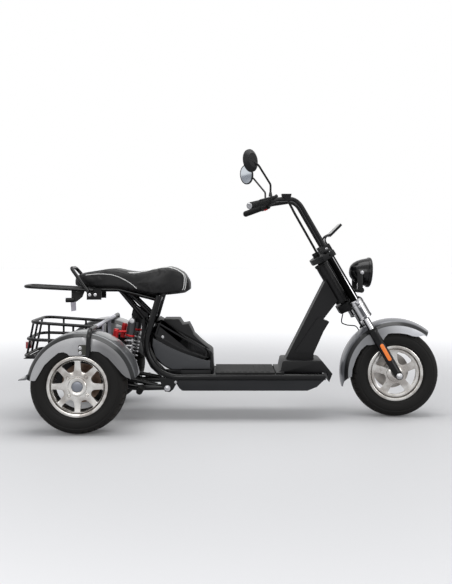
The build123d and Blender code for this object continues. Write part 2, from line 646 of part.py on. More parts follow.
def shock_body():
    """The damper with its two eyes and the pin into the swingarm's upper bar."""
    body = rod(on_shock(8), on_shock(COLLAR_FROM - SEAT_GAP), 20)
    body += rod(on_shock(COLLAR_FROM - 4), on_shock(SHOCK_LENGTH - 12), SHOCK_ROD_R)
    body += rod(on_shock(SHOCK_LENGTH - 40), on_shock(SHOCK_LENGTH - 24), 20)
    across_eye = Vector(0, SHOCK_EYE_R, 0)
    for eye in (SHOCK_TOP, SHOCK_FOOT):
        body += rod(eye - across_eye, eye + across_eye, SHOCK_EYE_R)
    body -= rod(SHOCK_TOP - across_eye * 2, SHOCK_TOP + across_eye * 2, SHOCK_EYE_R / 2 + SEAT_GAP)
    return body + rod(SHOCK_FOOT, (SHOCK_FOOT.X, -ARM_Y - UPPER_BAR_R - 2 * SEAT_GAP, SHOCK_FOOT.Z), 7)


def shock_spring():
    """The coil spring as a stack of rings on a sleeve."""
    start = COLLAR_FROM + COLLAR_THICK + SEAT_GAP
    end = SHOCK_LENGTH - 40 - SEAT_GAP
    spring = rod(on_shock(start), on_shock(end), COIL_R - COIL_WIRE_R + 0.5)
    spring -= rod(on_shock(0), on_shock(SHOCK_LENGTH), SHOCK_ROD_R + SEAT_GAP)
    step = (end - start) / COIL_COUNT
    for coil in range(COIL_COUNT):
        place = Plane(origin=on_shock(start + step * (coil + 0.5)), z_dir=SHOCK_AXIS)
        spring += place * Torus(COIL_R, COIL_WIRE_R)
    return spring


def shock_canister():
    """The canister on its link to the damper."""
    body = rod(on_shock(40) + CANISTER_BACK, on_shock(120) + CANISTER_BACK, CANISTER_R)
    return body + rod(on_shock(56) + CANISTER_BACK, on_shock(56) - Vector(20 + 4 * SEAT_GAP, 0, 0), 6)


def shock_collar():
    """The coloured collar that the spring sits against."""
    collar = rod(on_shock(COLLAR_FROM), on_shock(COLLAR_FROM + COLLAR_THICK), COIL_R + 2)
    return collar - rod(on_shock(0), on_shock(SHOCK_LENGTH), SHOCK_ROD_R + SEAT_GAP)


def inner_mudguard():
    """The bent plate between the rear wheels and the case, fixed to the strut tie tube."""
    outline = [(-452, 505), (-440, 512), (-440, 420), (-428, 340), (-392, 268), (-350, 225), (-362, 218),
               (-410, 262), (-446, 332), (-458, 420)]
    plate = slab(outline, 85)
    (top_x, top_z), (foot_x, foot_z) = STRUTS[0]
    for y in (-STRUT_Y, STRUT_Y):
        plate -= rod((top_x, y, top_z), (foot_x, y, foot_z), STRUT_R + SEAT_GAP)
        plate -= block(-520, -420, y - 3, y + 3, 440, 600)
    return plate


canister = shock_canister()
collar = shock_collar()
save("shock_bodies", pair(shock_body()))
save("shock_springs", pair(shock_spring()))
save("shock_canisters", Compound([canister, mirrored(canister), collar, mirrored(collar)]))
save("inner_mudguard", inner_mudguard())

# Wheels: tyres with a rounded crown, cast rims with spoked dishes, and brake discs
FLANGE_INSET = 14.0
RIM_WALL = 3.0
DISH_THICK = 10.0
HUB_CAP_R = 27.0
HUB_R = 44.0
WHEEL_HUB_LONG = 96.0
AXLE_R = 8.0
DISC_R = 92.0
DISC_THICK = 4.0
FRONT_SPOKES = 5
REAR_SPOKES = 8


def tyre(width, centre):
    """A fat low tyre, closed round its bead, with bulging walls and a round crown."""
    half = width / 2
    bead = half - FLANGE_INSET - SEAT_GAP
    low = BEAD_RADIUS + SEAT_GAP
    edge = RIM_RADIUS + SEAT_GAP
    section = Polyline((low, -bead), (low, bead), (edge, bead), (edge + 4, half - 7), (157, half - 1.5))
    section += ThreePointArc((157, half - 1.5), (182, half), (203, half - 5))
    section += ThreePointArc((203, half - 5), (213, half - 13), (219.5, half - 26))
    section += ThreePointArc((219.5, half - 26), (TYRE_RADIUS, 0), (219.5, 26 - half))
    section += ThreePointArc((219.5, 26 - half), (213, 13 - half), (203, 5 - half))
    section += ThreePointArc((203, 5 - half), (182, -half), (157, 1.5 - half))
    section += Polyline((157, 1.5 - half), (edge + 4, 7 - half), (edge, -bead), (low, -bead))
    return Pos(*centre) * revolve(make_face(section), axis=Axis.Y)


def window(inner, outer, inner_half_angle, outer_half_angle, turn, corner):
    """One opening between two spokes, cut right through, with rounded corners."""
    corners = [(inner, -inner_half_angle), (inner, inner_half_angle), (outer, outer_half_angle),
               (outer, -outer_half_angle)]
    points = []
    for radius, angle in corners:
        points.append((radius * cos(radians(turn + angle)), radius * sin(radians(turn + angle))))
    return slab(points, 100, 0, corner)


def rim(width, centre, outward, bore, windows):
    """A cast rim: a barrel with two flanges, and a spoked dish set near its outer face."""
    half = width / 2
    well = half - FLANGE_INSET
    face = well * outward
    step = -outward
    barrel = make_face(Polyline(
        (BEAD_RADIUS, -well), (RIM_RADIUS, -well), (RIM_RADIUS, -well - RIM_WALL),
        (BEAD_RADIUS - 12, -well - RIM_WALL), (BEAD_RADIUS - 12, well + RIM_WALL),
        (RIM_RADIUS, well + RIM_WALL), (RIM_RADIUS, well), (BEAD_RADIUS, well),
        (BEAD_RADIUS, well - 14), (BEAD_RADIUS - 8, well - 20), (BEAD_RADIUS - 8, -well + 20),
        (BEAD_RADIUS, -well + 14), close=True))
    back = DISH_THICK * step
    dish = make_face(Polyline(
        (bore, face - 4 * step), (HUB_CAP_R - 3, face - 4 * step), (HUB_CAP_R, face),
        (HUB_CAP_R + 1, face + 6 * step), (50, face + 4 * step), (72, face + 9 * step),
        (100, face + 7 * step), (BEAD_RADIUS - 11, face + 2 * step),
        (BEAD_RADIUS - 11, face + 2 * step + back), (100, face + 7 * step + back),
        (72, face + 9 * step + back),
        (HUB_R, face + 34 * step), (HUB_R, face + WHEEL_HUB_LONG * step),
        (bore, face + WHEEL_HUB_LONG * step),
        close=True))
    dish = revolve(dish, axis=Axis.Y)
    inner, outer, inner_half, outer_half, corner = windows
    count = FRONT_SPOKES if centre[0] > 0 else REAR_SPOKES
    for number in range(count):
        dish -= window(inner, outer, inner_half, outer_half, (number + 0.5) * 360 / count, corner)
    return Pos(*centre) * (revolve(barrel, axis=Axis.Y) + dish)


def brake_disc(x, inner_face, outward, bore):
    """A brake disc against the inner end of a wheel's hub."""
    y = inner_face - outward * (SEAT_GAP + DISC_THICK / 2)
    half = DISC_THICK / 2
    return across(x, AXLE_Z, DISC_R, y - half, y + half) - across(x, AXLE_Z, bore, y - 9, y + 9)


FRONT_WINDOWS = (52, 108, 17, 26, 14)
REAR_WINDOWS = (66, 111, 9.5, 16.5, 6)
front_centre = (FRONT_AXLE_X, 0, AXLE_Z)
front_face = FRONT_TYRE_WIDTH / 2 - FLANGE_INSET
rear_face = REAR_WHEEL_Y + REAR_TYRE_WIDTH / 2 - FLANGE_INSET
save("front_tyre", tyre(FRONT_TYRE_WIDTH, front_centre))
save("front_rim", rim(FRONT_TYRE_WIDTH, front_centre, -1, AXLE_R + SEAT_GAP, FRONT_WINDOWS))
save("front_disc", brake_disc(FRONT_AXLE_X, WHEEL_HUB_LONG - front_face, -1, AXLE_R + SEAT_GAP))
for side, name in ((-1, "right"), (1, "left")):
    centre = (REAR_AXLE_X, side * REAR_WHEEL_Y, AXLE_Z)
    save(f"rear_tyre_{name}", tyre(REAR_TYRE_WIDTH, centre))
    save(f"rear_rim_{name}", rim(REAR_TYRE_WIDTH, centre, side, SHAFT_R + SEAT_GAP, REAR_WINDOWS))
    disc = brake_disc(REAR_AXLE_X, side * (rear_face - WHEEL_HUB_LONG), side, SHAFT_R + SEAT_GAP)
    save(f"rear_disc_{name}", disc)
save("front_axle", across(FRONT_AXLE_X, AXLE_Z, AXLE_R, -FORK_Y - 30, FORK_Y + 30))

# Fork: two legs, a silver cover round each at the lower clamp, and sliders down to the axle
STANCHION_R = 18.0
UPPER_TUBE_R = 22.0
COVER_R = 37.0
SLIDER_TOP = 262.0
SLIDER_LUG_R = 19.0
COVER_BOTTOM = 334.0
LOWER_CLAMP_LOW = 400.0
LOWER_CLAMP_TOP = 438.0
UPPER_CLAMP_LOW = 684.0
UPPER_CLAMP_TOP = 712.0
LEG_TOP = 716.0
RISER_FORWARD = 54.0
RISER_Y = 60.0
RISER_BLOCK_TALL = 35.0
BAR_R = 11.5
STEM_NUT_R = 17.0


def fork_slider():
    """The right slider, bored for the tube above, with a round lug for the axle at its foot."""
    slider = upright(FORK_OFFSET, -FORK_Y, 0, SLIDER_TOP, SLIDER_R)
    slider += upright(FORK_OFFSET, -FORK_Y, SLIDER_TOP - 16, SLIDER_TOP, SLIDER_R + 2)
    slider += across(FRONT_AXLE_X, AXLE_Z, SLIDER_LUG_R, -FORK_Y - SLIDER_R - 1.5, -FORK_Y + SLIDER_R + 1.5)
    slider -= across(FRONT_AXLE_X, AXLE_Z, AXLE_R + SEAT_GAP, -FORK_Y - 60, -FORK_Y + 60)
    return slider - upright(FORK_OFFSET, -FORK_Y, 100, SLIDER_TOP + 1, STANCHION_R + SEAT_GAP)


def fork_tube():
    """The right tube: thin where it slides, thicker between the clamps."""
    tube = upright(FORK_OFFSET, -FORK_Y, 100 + 1, COVER_BOTTOM + 40, STANCHION_R)
    return tube + upright(FORK_OFFSET, -FORK_Y, COVER_BOTTOM + 40, LEG_TOP, UPPER_TUBE_R)


def fork_cover():
    """The right silver cover, flared a little at its lower edge."""
    low = COVER_BOTTOM
    section = make_face(Polyline((UPPER_TUBE_R + SEAT_GAP, low), (COVER_R + 1.5, low),
                                 (COVER_R + 1.5, low + 10),
                                 (COVER_R, low + 14), (COVER_R, LOWER_CLAMP_TOP - 6),
                                 (COVER_R - 4, LOWER_CLAMP_TOP),
                                 (UPPER_TUBE_R + SEAT_GAP, LOWER_CLAMP_TOP), close=True))
    turned = revolve(Plane.XZ * section, axis=Axis.Z)
    return HEAD * Pos(FORK_OFFSET, -FORK_Y, 0) * turned


def clamp_plate(low, high, half_width, ahead, behind):
    """A yoke, square to the steering axis, that joins both legs and the stem."""
    outline = Polyline((behind, -40), (behind, 40), (10, half_width), (ahead - 14, half_width),
                       (ahead, half_width - 14),
                       (ahead, 14 - half_width), (ahead - 14, -half_width), (10, -half_width), close=True)
    return HEAD * Pos(0, 0, low) * extrude(make_face(outline), high - low)


def steering_stem():
    """The lower yoke with the stem through the head tube and the nut on top."""
    stem = clamp_plate(LOWER_CLAMP_LOW, LOWER_CLAMP_TOP, FORK_Y - 4, 78, -42)
    for side in (-1, 1):
        stem -= upright(FORK_OFFSET, side * FORK_Y, COVER_BOTTOM, LOWER_CLAMP_TOP + 60, COVER_R + SEAT_GAP)
    stem += upright(0, 0, LOWER_CLAMP_TOP - 1, UPPER_CLAMP_TOP + 1, STEM_R)
    return stem + upright(0, 0, UPPER_CLAMP_TOP + SEAT_GAP, UPPER_CLAMP_TOP + 24, STEM_NUT_R)


def upper_clamp():
    """The upper yoke with the two blocks that hold the risers."""
    clamp = clamp_plate(UPPER_CLAMP_LOW, UPPER_CLAMP_TOP, FORK_Y + 32, 78, -40)
    for side in (-1, 1):
        block_place = Pos(RISER_FORWARD, side * (RISER_Y - 4), UPPER_CLAMP_TOP - 1)
        clamp += HEAD * block_place * Box(52, 42, RISER_BLOCK_TALL + 1,
                                          align=(Align.CENTER, Align.CENTER, Align.MIN))
        clamp -= upright(FORK_OFFSET, side * FORK_Y, UPPER_CLAMP_LOW - 10, LEG_TOP + 60,
                         UPPER_TUBE_R + SEAT_GAP)
        clamp -= upright(RISER_FORWARD, side * RISER_Y, UPPER_CLAMP_LOW + 6, LEG_TOP + 60, BAR_R + SEAT_GAP)
    return clamp - upright(0, 0, UPPER_CLAMP_LOW - 10, LEG_TOP + 60, STEM_R + SEAT_GAP)


def reflector():
    """The amber reflector on the outside of the right slider."""
    place = HEAD * Pos(FORK_OFFSET, -FORK_Y - SLIDER_R - 2.3, 136)
    return place * Box(20, 4, 94)


save("fork_sliders", pair(fork_slider()))
save("fork_tubes", pair(fork_tube()))
save("fork_covers", pair(fork_cover()))
save("fork_reflectors", pair(reflector()))
save("steering_stem", steering_stem())
save("upper_clamp", upper_clamp())

# Handlebar: risers parallel to the fork that bend outward and back to the grips
RISER_FOOT = at_head(RISER_FORWARD, -RISER_Y, UPPER_CLAMP_LOW + 7)
RISER_TOP = at_head(RISER_FORWARD, -RISER_Y, 1022)
GRIP_START = Vector(172, -228, 1089)
GRIP_END = Vector(83, -340, 1061)
GRIP_R = 16.5
GRIP_AXIS = (GRIP_END - GRIP_START).normalized()
LEVER_OUT = (AHEAD - GRIP_AXIS * AHEAD.dot(GRIP_AXIS)).normalized()
BAR_PATH = [RISER_FOOT, RISER_TOP, GRIP_START - GRIP_AXIS * 75, GRIP_END]
BAR_BENDS = [70, 60]
RESERVOIR = Vector(272, -127, 1119)


def handle_grip():
    """The rubber grip on the bar, closed at its end."""
    grip = rod(GRIP_START, GRIP_END + GRIP_AXIS * 8, GRIP_R)
    grip += rod(GRIP_START, GRIP_START + GRIP_AXIS * 6, GRIP_R + 4)
    grip -= rod(GRIP_START - GRIP_AXIS, GRIP_END + GRIP_AXIS * SEAT_GAP, BAR_R + SEAT_GAP)
    return grip


def hand_control():
    """The switch housing with its lever ahead of the grip."""
    pod = rod(GRIP_START - GRIP_AXIS * 46, GRIP_START - GRIP_AXIS * 4, 19)
    root = GRIP_START - GRIP_AXIS * 25 + LEVER_OUT * 15
    pod += rod(root, root + LEVER_OUT * 32, 8)
    pod += rod(root + LEVER_OUT * 28, root + LEVER_OUT * 22 + GRIP_AXIS * 130, 5)
    return pod - rod(GRIP_START - GRIP_AXIS * 60, GRIP_START, BAR_R + SEAT_GAP)


def reservoir():
    """The flared fluid reservoir clamped on the bar beside the riser's bend."""
    top = Pos(0, 0, 15) * Rectangle(50, 38)
    foot = Pos(0, 0, -17) * Rectangle(36, 28)
    body = Pos(*RESERVOIR) * loft([foot, top])
    return body - pipe(BAR_PATH, BAR_BENDS, BAR_R + SEAT_GAP)


save("handlebar", pair(pipe(BAR_PATH, BAR_BENDS, BAR_R)))
save("handle_grips", pair(handle_grip()))
save("hand_controls", pair(hand_control()))
save("reservoirs", pair(reservoir()))

# Display: a thin panel that faces the rider, on two bent stalks
DISPLAY_CENTRE = Vector(531, 0, 957)
DISPLAY_TILT = 45.0
DISPLAY_LONG = 86.0
DISPLAY_WIDE = 104.0
DISPLAY_THICK = 12.0
STALK_R = 4.5


def display():
    """The panel and its stalks up from the riser blocks."""
    place = Pos(*DISPLAY_CENTRE) * Rot(0, -DISPLAY_TILT, 0)
    panel = Box(DISPLAY_LONG, DISPLAY_WIDE, DISPLAY_THICK)
    panel = place * fillet(panel.edges().filter_by(Axis.Z), 14)
    for side in (-1, 1):
        foot = at_head(RISER_FORWARD + 19, side * 40, UPPER_CLAMP_TOP + RISER_BLOCK_TALL + SEAT_GAP)
        knee = at_head(RISER_FORWARD + 19, side * 40, UPPER_CLAMP_TOP + 72)
        end = DISPLAY_CENTRE + Vector(-6, side * 34, -12)
        panel += pipe([foot, knee, end], [24], STALK_R)
    return panel


save("display", display())

# Headlight: a round bowl with a ring and a bulging lens, held by two straps from below
LAMP_R = 74.0
LAMP_Z = 740.0
LAMP_BACK_X = 612.0
LAMP_RING_X = 700.0
LAMP_FRONT_X = 715.0
LAMP_PIVOT_X = 660.0
LAMP_PIVOT_Z = 742.0
LAMP_BAR_Z = 648.0
LAMP_BAR_X = 650.0
LAMP_SHELF_HALF = 46.0
LAMP_STRAP_Y = 74.0
LAMP_STRAP = 4.0
SIGNAL_R = 14.0
SIGNAL_OUT = 112.0


def headlight_shell():
    """The bowl and its ring."""
    bowl = Polyline((LAMP_BACK_X, 0), (LAMP_BACK_X, 16), (LAMP_BACK_X + 8, 38))
    bowl += ThreePointArc((LAMP_BACK_X + 8, 38), (LAMP_BACK_X + 34, 62), (LAMP_RING_X - 2, LAMP_R - 4))
    bowl += Polyline((LAMP_RING_X - 2, LAMP_R - 4), (LAMP_RING_X, LAMP_R), (LAMP_FRONT_X, LAMP_R),
                     (LAMP_FRONT_X, LAMP_R - 8), (LAMP_RING_X + 4, LAMP_R - 8), (LAMP_RING_X + 4, 0),
                     (LAMP_BACK_X, 0))
    shell = Pos(0, 0, LAMP_Z) * revolve(make_face(bowl), axis=Axis.X)
    for side in (-1, 1):
        shell += across(LAMP_PIVOT_X, LAMP_PIVOT_Z, 8, side * 55, side * LAMP_STRAP_Y)
    return shell


def headlight_bracket():
    """The shelf on the lower clamp with a strap up each side of the bowl."""
    back = at_head(50, 0, LOWER_CLAMP_TOP + SEAT_GAP)
    front = at_head(66, 0, LOWER_CLAMP_TOP + SEAT_GAP)
    arm = slab([(back.X, back.Z), (front.X, front.Z), (616, LAMP_BAR_Z - 8),
                (LAMP_BAR_X + 14, LAMP_BAR_Z - 8),
                (LAMP_BAR_X + 14, LAMP_BAR_Z + 4), (602, LAMP_BAR_Z + 4)], LAMP_SHELF_HALF, 0)
    x0 = LAMP_BAR_X - 14
    x1 = LAMP_BAR_X + 14
    low = LAMP_BAR_Z - 8
    for side in (-1, 1):
        strap_y = side * (LAMP_STRAP_Y + SEAT_GAP + LAMP_STRAP / 2)
        foot_y = side * (LAMP_SHELF_HALF + LAMP_STRAP_Y + LAMP_STRAP) / 2
        foot_half = (LAMP_STRAP_Y + LAMP_STRAP - LAMP_SHELF_HALF) / 2 + 1
        arm += block(x0, x1, strap_y - LAMP_STRAP / 2, strap_y + LAMP_STRAP / 2, low, LAMP_PIVOT_Z + 4)
        arm += block(x0, x1, foot_y - foot_half, foot_y + foot_half, low, low + 5)
    return arm


def headlight_lens():
    """The lens, seated in the ring."""
    back = LAMP_RING_X + 4 + SEAT_GAP
    edge = LAMP_R - 8 - SEAT_GAP
    front = LAMP_FRONT_X
    outline = Polyline((back, 0), (back, edge), (front - 3, edge), (front + 1, edge * 0.75),
                       (front + 4, edge * 0.4),
                       (front + 5, 0), close=True)
    return Pos(0, 0, LAMP_Z) * revolve(make_face(outline), axis=Axis.X)


def turn_signal():
    """A round lamp on a short stem out of the strap."""
    z = LAMP_BAR_Z + 6
    inner = -(LAMP_STRAP_Y + LAMP_STRAP + 2 * SEAT_GAP)
    stem = across(LAMP_BAR_X, z, 6, inner, -SIGNAL_OUT + 20)
    return stem + rod((LAMP_BAR_X, -SIGNAL_OUT + 22, z), (LAMP_BAR_X, -SIGNAL_OUT, z), 8, SIGNAL_R)


save("headlight_shell", headlight_shell())
save("headlight_bracket", headlight_bracket())
save("headlight_lens", headlight_lens())
save("turn_signals", pair(turn_signal()))

# Mirrors: an oval head on a bent stalk over each lever
MIRROR_CENTRE = Vector(86, -300, 1279)
MIRROR_WIDE = 46.0
MIRROR_TALL = 55.0
MIRROR_BACK = 15.0


def mirror_head():
    """A shallow oval bowl whose flat glass side faces the rider."""
    face = Plane.YZ * Ellipse(MIRROR_WIDE, MIRROR_TALL)
    dome = Plane.YZ.offset(MIRROR_BACK) * Ellipse(MIRROR_WIDE * 0.62, MIRROR_TALL * 0.62)
    head = extrude(face, -8) + loft([face, dome])
    return Pos(*MIRROR_CENTRE) * Rot(0, -6, 0) * head


def mirror_stalk():
    """The bent stalk with a cone at its foot on the lever clamp."""
    stalk = pipe([(187, -214, 1113.5), (187, -222, 1172), (126, -290, 1256), (96, -300, 1276)], [20, 10], 5)
    return stalk + rod((187, -214, 1115), (187, -216, 1136), 10, 6)


save("mirror_heads", pair(mirror_head()))
save("mirror_stalks", pair(mirror_stalk() - mirror_head()))

# Cables: a loom down behind the risers, and the brake hose down the left fork leg
LOOM_R = 6.0
HOSE_R = 3.0


def brake_hose():
    """The hose that loops back under the lower clamp and down to the brake."""
    return pipe([at_head(-20, 20, LOWER_CLAMP_LOW - 2.5), at_head(-60, 26, 350), at_head(-34, 60, 318),
                 at_head(8, 86, 286), at_head(11, 94, 150)], [22, 22, 30], HOSE_R)


def control_cables():
    """The loom from the bar's bend to the upper clamp."""
    return pipe([(287, -104.5, 1094.5), (318, -80, 1040), (385, -45, 930),
                 at_head(8, -22, UPPER_CLAMP_TOP + 1.8)],
                [60, 60], LOOM_R)


save("control_cables", control_cables())
save("brake_hose", brake_hose())
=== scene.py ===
# %% [markdown]
# A three-wheeled electric scooter, dressed for its portrait. The imported model brings every
# load-bearing piece at its real size. This lesson keeps those that already have the right form
# and gives them a finish. The rest are modelled again over the same place.

# %% Load the scooter's frame
import math

import bpy
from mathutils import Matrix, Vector


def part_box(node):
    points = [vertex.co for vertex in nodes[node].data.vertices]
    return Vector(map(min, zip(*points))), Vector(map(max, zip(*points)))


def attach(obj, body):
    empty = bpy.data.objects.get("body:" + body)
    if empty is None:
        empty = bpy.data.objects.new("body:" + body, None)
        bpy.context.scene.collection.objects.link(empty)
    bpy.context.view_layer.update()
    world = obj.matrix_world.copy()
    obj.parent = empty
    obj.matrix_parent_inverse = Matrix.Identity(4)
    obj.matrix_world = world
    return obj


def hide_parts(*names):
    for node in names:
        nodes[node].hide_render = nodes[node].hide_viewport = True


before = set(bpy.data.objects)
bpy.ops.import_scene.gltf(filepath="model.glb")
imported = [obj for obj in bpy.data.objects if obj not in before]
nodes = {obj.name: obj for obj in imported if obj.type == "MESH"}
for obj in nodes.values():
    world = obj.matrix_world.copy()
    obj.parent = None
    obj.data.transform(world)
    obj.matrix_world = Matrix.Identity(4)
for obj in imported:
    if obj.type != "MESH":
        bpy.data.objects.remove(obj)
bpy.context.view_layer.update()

# %% [markdown]
# The portrait is taken level, a little under handlebar height, from 3.5 m to the scooter's right.
# A level camera keeps uprights parallel, so the picture is framed with a small vertical shift
# in place of a tilt. The focal length comes from the wheelbase and its length in the picture.

# %% Camera
camera_data = bpy.data.cameras.new("portrait")
camera = bpy.data.objects.new("portrait", camera_data)
bpy.context.scene.collection.objects.link(camera)
CAMERA_PLACE = (-0.029, -3.5, 0.845)
LEVEL = (math.radians(90), 0, 0)
FOCAL_LENGTH = 41.7
FRAMING_SHIFT = -0.0685
camera.location = CAMERA_PLACE
camera.rotation_euler = LEVEL
camera_data.lens = FOCAL_LENGTH
camera_data.shift_y = FRAMING_SHIFT
bpy.context.scene.camera = camera
bpy.context.scene.view_settings.view_transform = "Standard"
print("lens", camera_data.lens)

# %% [markdown]
# Shader formulas read best as formulas. A Wire wraps one output of a node, and its operators add
# the Math nodes, so 1 - mask or rough * 0.4 + 0.2 can be written as it is meant. A Finish
# is one material: a principled shader and the nodes that feed it.

# %% Formulas for materials


class Wire:
    """One output of a node, which can stand in a formula."""

    def __init__(self, finish, socket):
        self.finish = finish
        self.socket = socket

    def math(self, operation, *values):
        numbers = dict(enumerate(values))
        return self.finish.node("ShaderNodeMath", {"operation": operation}, numbers)

    def __add__(self, other):
        return self.math("ADD", self, other)

    def __radd__(self, other):
        return self.math("ADD", other, self)

    def __sub__(self, other):
        return self.math("SUBTRACT", self, other)

    def __rsub__(self, other):
        return self.math("SUBTRACT", other, self)

    def __mul__(self, other):
        return self.math("MULTIPLY", self, other)

    def __rmul__(self, other):
        return self.math("MULTIPLY", other, self)

    def __truediv__(self, other):
        return self.math("DIVIDE", self, other)

    def __pow__(self, other):
        return self.math("POWER", self, other)

    def __abs__(self):
        return self.math("ABSOLUTE", self)

    def step(self, low, high):
        """0 below low and 1 above high, with a smooth rise between them."""
        settings = {"interpolation_type": "SMOOTHSTEP"}
        return self.finish.node("ShaderNodeMapRange", settings, {0: self, 1: low, 2: high})

    def sine(self):
        return self.math("SINE", self)


class Finish:
    """One material, made of a principled shader and what feeds it."""

    def __init__(self, name, **sockets):
        self.material = bpy.data.materials.new(name)
        self.material.use_nodes = True
        self.tree = self.material.node_tree
        self.shader = self.tree.nodes["Principled BSDF"]
        self.set(**sockets)
        self.place = self.node("ShaderNodeTexCoord", output="Object")
        axes = self.tree.nodes.new("ShaderNodeSeparateXYZ")
        self.tree.links.new(self.place.socket, axes.inputs[0])
        self.x, self.y, self.z = [Wire(self, axes.outputs[i]) for i in range(3)]

    def put(self, socket, value):
        if isinstance(value, Wire):
            self.tree.links.new(value.socket, socket)
        else:
            socket.default_value = value

    def set(self, **sockets):
        """Feed the shader: Base_Color=..., Roughness=..., with _ for a blank."""
        for name, value in sockets.items():
            self.put(self.shader.inputs[name.replace("_", " ")], value)
        return self

    def node(self, kind, settings=None, inputs=None, output=0):
        """Add a node: its settings first, then the values or links of its sockets."""
        made = self.tree.nodes.new(kind)
        for name, value in (settings or {}).items():
            if name == "stops":
                ramp = made.color_ramp.elements
                while len(ramp) < len(value):
                    ramp.new(0.5)
                for element, (position, tint) in zip(ramp, value):
                    element.position = position
                    element.color = tint
            else:
                setattr(made, name, value)
        for name, value in (inputs or {}).items():
            self.put(made.inputs[name], value)
        return Wire(self, made.outputs[output])

    def noise(self, scale, detail=2.0):
        """Fine cloudy variation from 0 to 1."""
        inputs = {"Vector": self.place, "Scale": scale, "Detail": detail}
        return self.node("ShaderNodeTexNoise", None, inputs)

    def cells(self, scale):
        """Distance to the nearest of many scattered points."""
        return self.node("ShaderNodeTexVoronoi", None, {"Vector": self.place, "Scale": scale})

    def reach(self, centre_x, centre_z):
        """Distance from an axle that lies across the scooter."""
        across = self.x - centre_x
        upward = self.z - centre_z
        return (across * across + upward * upward) ** 0.5

    def mix(self, mask, first, second):
        """One colour where the mask is 0 and another where it is 1."""
        inputs = {"Factor": mask, 6: first, 7: second}
        return self.node("ShaderNodeMix", {"data_type": "RGBA"}, inputs, output=2)

    def bump(self, height, depth, strength=1.0):
        """Raise the surface by depth metres times height."""
        inputs = {"Height": height, "Distance": depth, "Strength": strength}
        return self.set(Normal=self.node("ShaderNodeBump", None, inputs))


def tint(red, green, blue):
    """A colour picked on screen, as the linear colour that a shader wants."""
    shares = [value / 255 for value in (red, green, blue)]
    linear = [v / 12.92 if v < 11 / 255 else ((v + 0.055) / 1.055) ** 2.4 for v in shares]
    return (*linear, 1.0)


def lit(colour, factor):
    """The same colour made lighter or darker."""
    return tuple(min(1.0, v * factor) for v in colour[:3]) + (1.0,)


# %% [markdown]
# The studio is a pale floor under an even white sky. The floor is a light grey round the scooter,
# so that the shadow shows, and melts into the white a few metres away. What the camera and shiny
# metal see of that sky is plain white, while the light that falls on the scooter is kept lower, so
# that a colour renders about as it is written. A wide soft lamp overhead gives the paint its long
# highlights.

# %% Studio
world = bpy.data.worlds.new("studio")
bpy.context.scene.world = world
world.use_nodes = True
sky = world.node_tree
background = sky.nodes["Background"]
COOL_SKY = (0.93, 0.95, 1.0, 1.0)
SKY_STRENGTH = 0.42
WHITE = (1.0, 1.0, 1.0, 1.0)
BLACK = (0.0, 0.0, 0.0, 1.0)
background.inputs["Color"].default_value = COOL_SKY
background.inputs["Strength"].default_value = SKY_STRENGTH
seen = sky.nodes.new("ShaderNodeBackground")
seen.inputs["Color"].default_value = WHITE
rays = sky.nodes.new("ShaderNodeLightPath")
either = rays.outputs["Is Camera Ray"]
for kind in ("Is Glossy Ray", "Is Transmission Ray"):
    larger = sky.nodes.new("ShaderNodeMath")
    larger.operation = "MAXIMUM"
    sky.links.new(either, larger.inputs[0])
    sky.links.new(rays.outputs[kind], larger.inputs[1])
    either = larger.outputs[0]
chosen = sky.nodes.new("ShaderNodeMixShader")
sky.links.new(either, chosen.inputs[0])
sky.links.new(background.outputs[0], chosen.inputs[1])
sky.links.new(seen.outputs[0], chosen.inputs[2])
sky.links.new(chosen.outputs[0], sky.nodes["World Output"].inputs["Surface"])


def softbox(name, place, target, wide, tall, watts):
    """A rectangular area lamp aimed at a point."""
    data = bpy.data.lights.new(name, "AREA")
    data.shape = "RECTANGLE"
    data.size, data.size_y = wide, tall
    data.energy = watts
    lamp = bpy.data.objects.new(name, data)
    lamp.location = place
    lamp.rotation_euler = (Vector(target) - Vector(place)).to_track_quat("-Z", "Y").to_euler()
    bpy.context.scene.collection.objects.link(lamp)


softbox("overhead", (0.0, -0.3, 3.2), (0, 0, 0.4), 3.6, 1.6, 75)
softbox("front_fill", (-1.2, -3.6, 1.9), (0, 0, 0.5), 2.0, 1.4, 42)
softbox("side_fill", (3.2, -2.4, 1.5), (0.4, 0, 0.5), 1.2, 1.8, 26)

FLOOR_SIZE = 60
GREY_ENDS, WHITE_STARTS = 1.0, 4.5
NEAR_GREY = (0.6, 0.6, 0.605, 1)
FAR_GREY = (0.82, 0.82, 0.83, 1)
bpy.ops.mesh.primitive_plane_add(size=FLOOR_SIZE, location=(0, 0, 0))
floor = bpy.context.object
floor.name = "floor"
floor_finish = Finish("pale_floor", Specular_IOR_Level=0.15, Emission_Strength=1.0)
floor_finish.set(Roughness=floor_finish.noise(3.0) * 0.1 + 0.55)
lift = floor_finish.node("ShaderNodeLightPath", output="Is Camera Ray")
away = (floor_finish.x * floor_finish.x + floor_finish.y * floor_finish.y) ** 0.5
beyond = away.step(GREY_ENDS, WHITE_STARTS)
floor_finish.set(Base_Color=floor_finish.mix(beyond, NEAR_GREY, FAR_GREY))
glow = lift * (beyond * 0.55 + 0.05)
floor_finish.set(Emission_Color=floor_finish.mix(glow, BLACK, WHITE))
floor.data.materials.append(floor_finish.material)
print("studio ready")

# %% [markdown]
# Most of the scooter is black, yet no two blacks are alike. The tubes are sprayed and shiny, the
# brackets are satin, the panels are moulded plastic with a fine grain, and the seat is vinyl. Each
# finish gets its own roughness and bump, at the scale that the real one has.

# %% Painted and moulded finishes


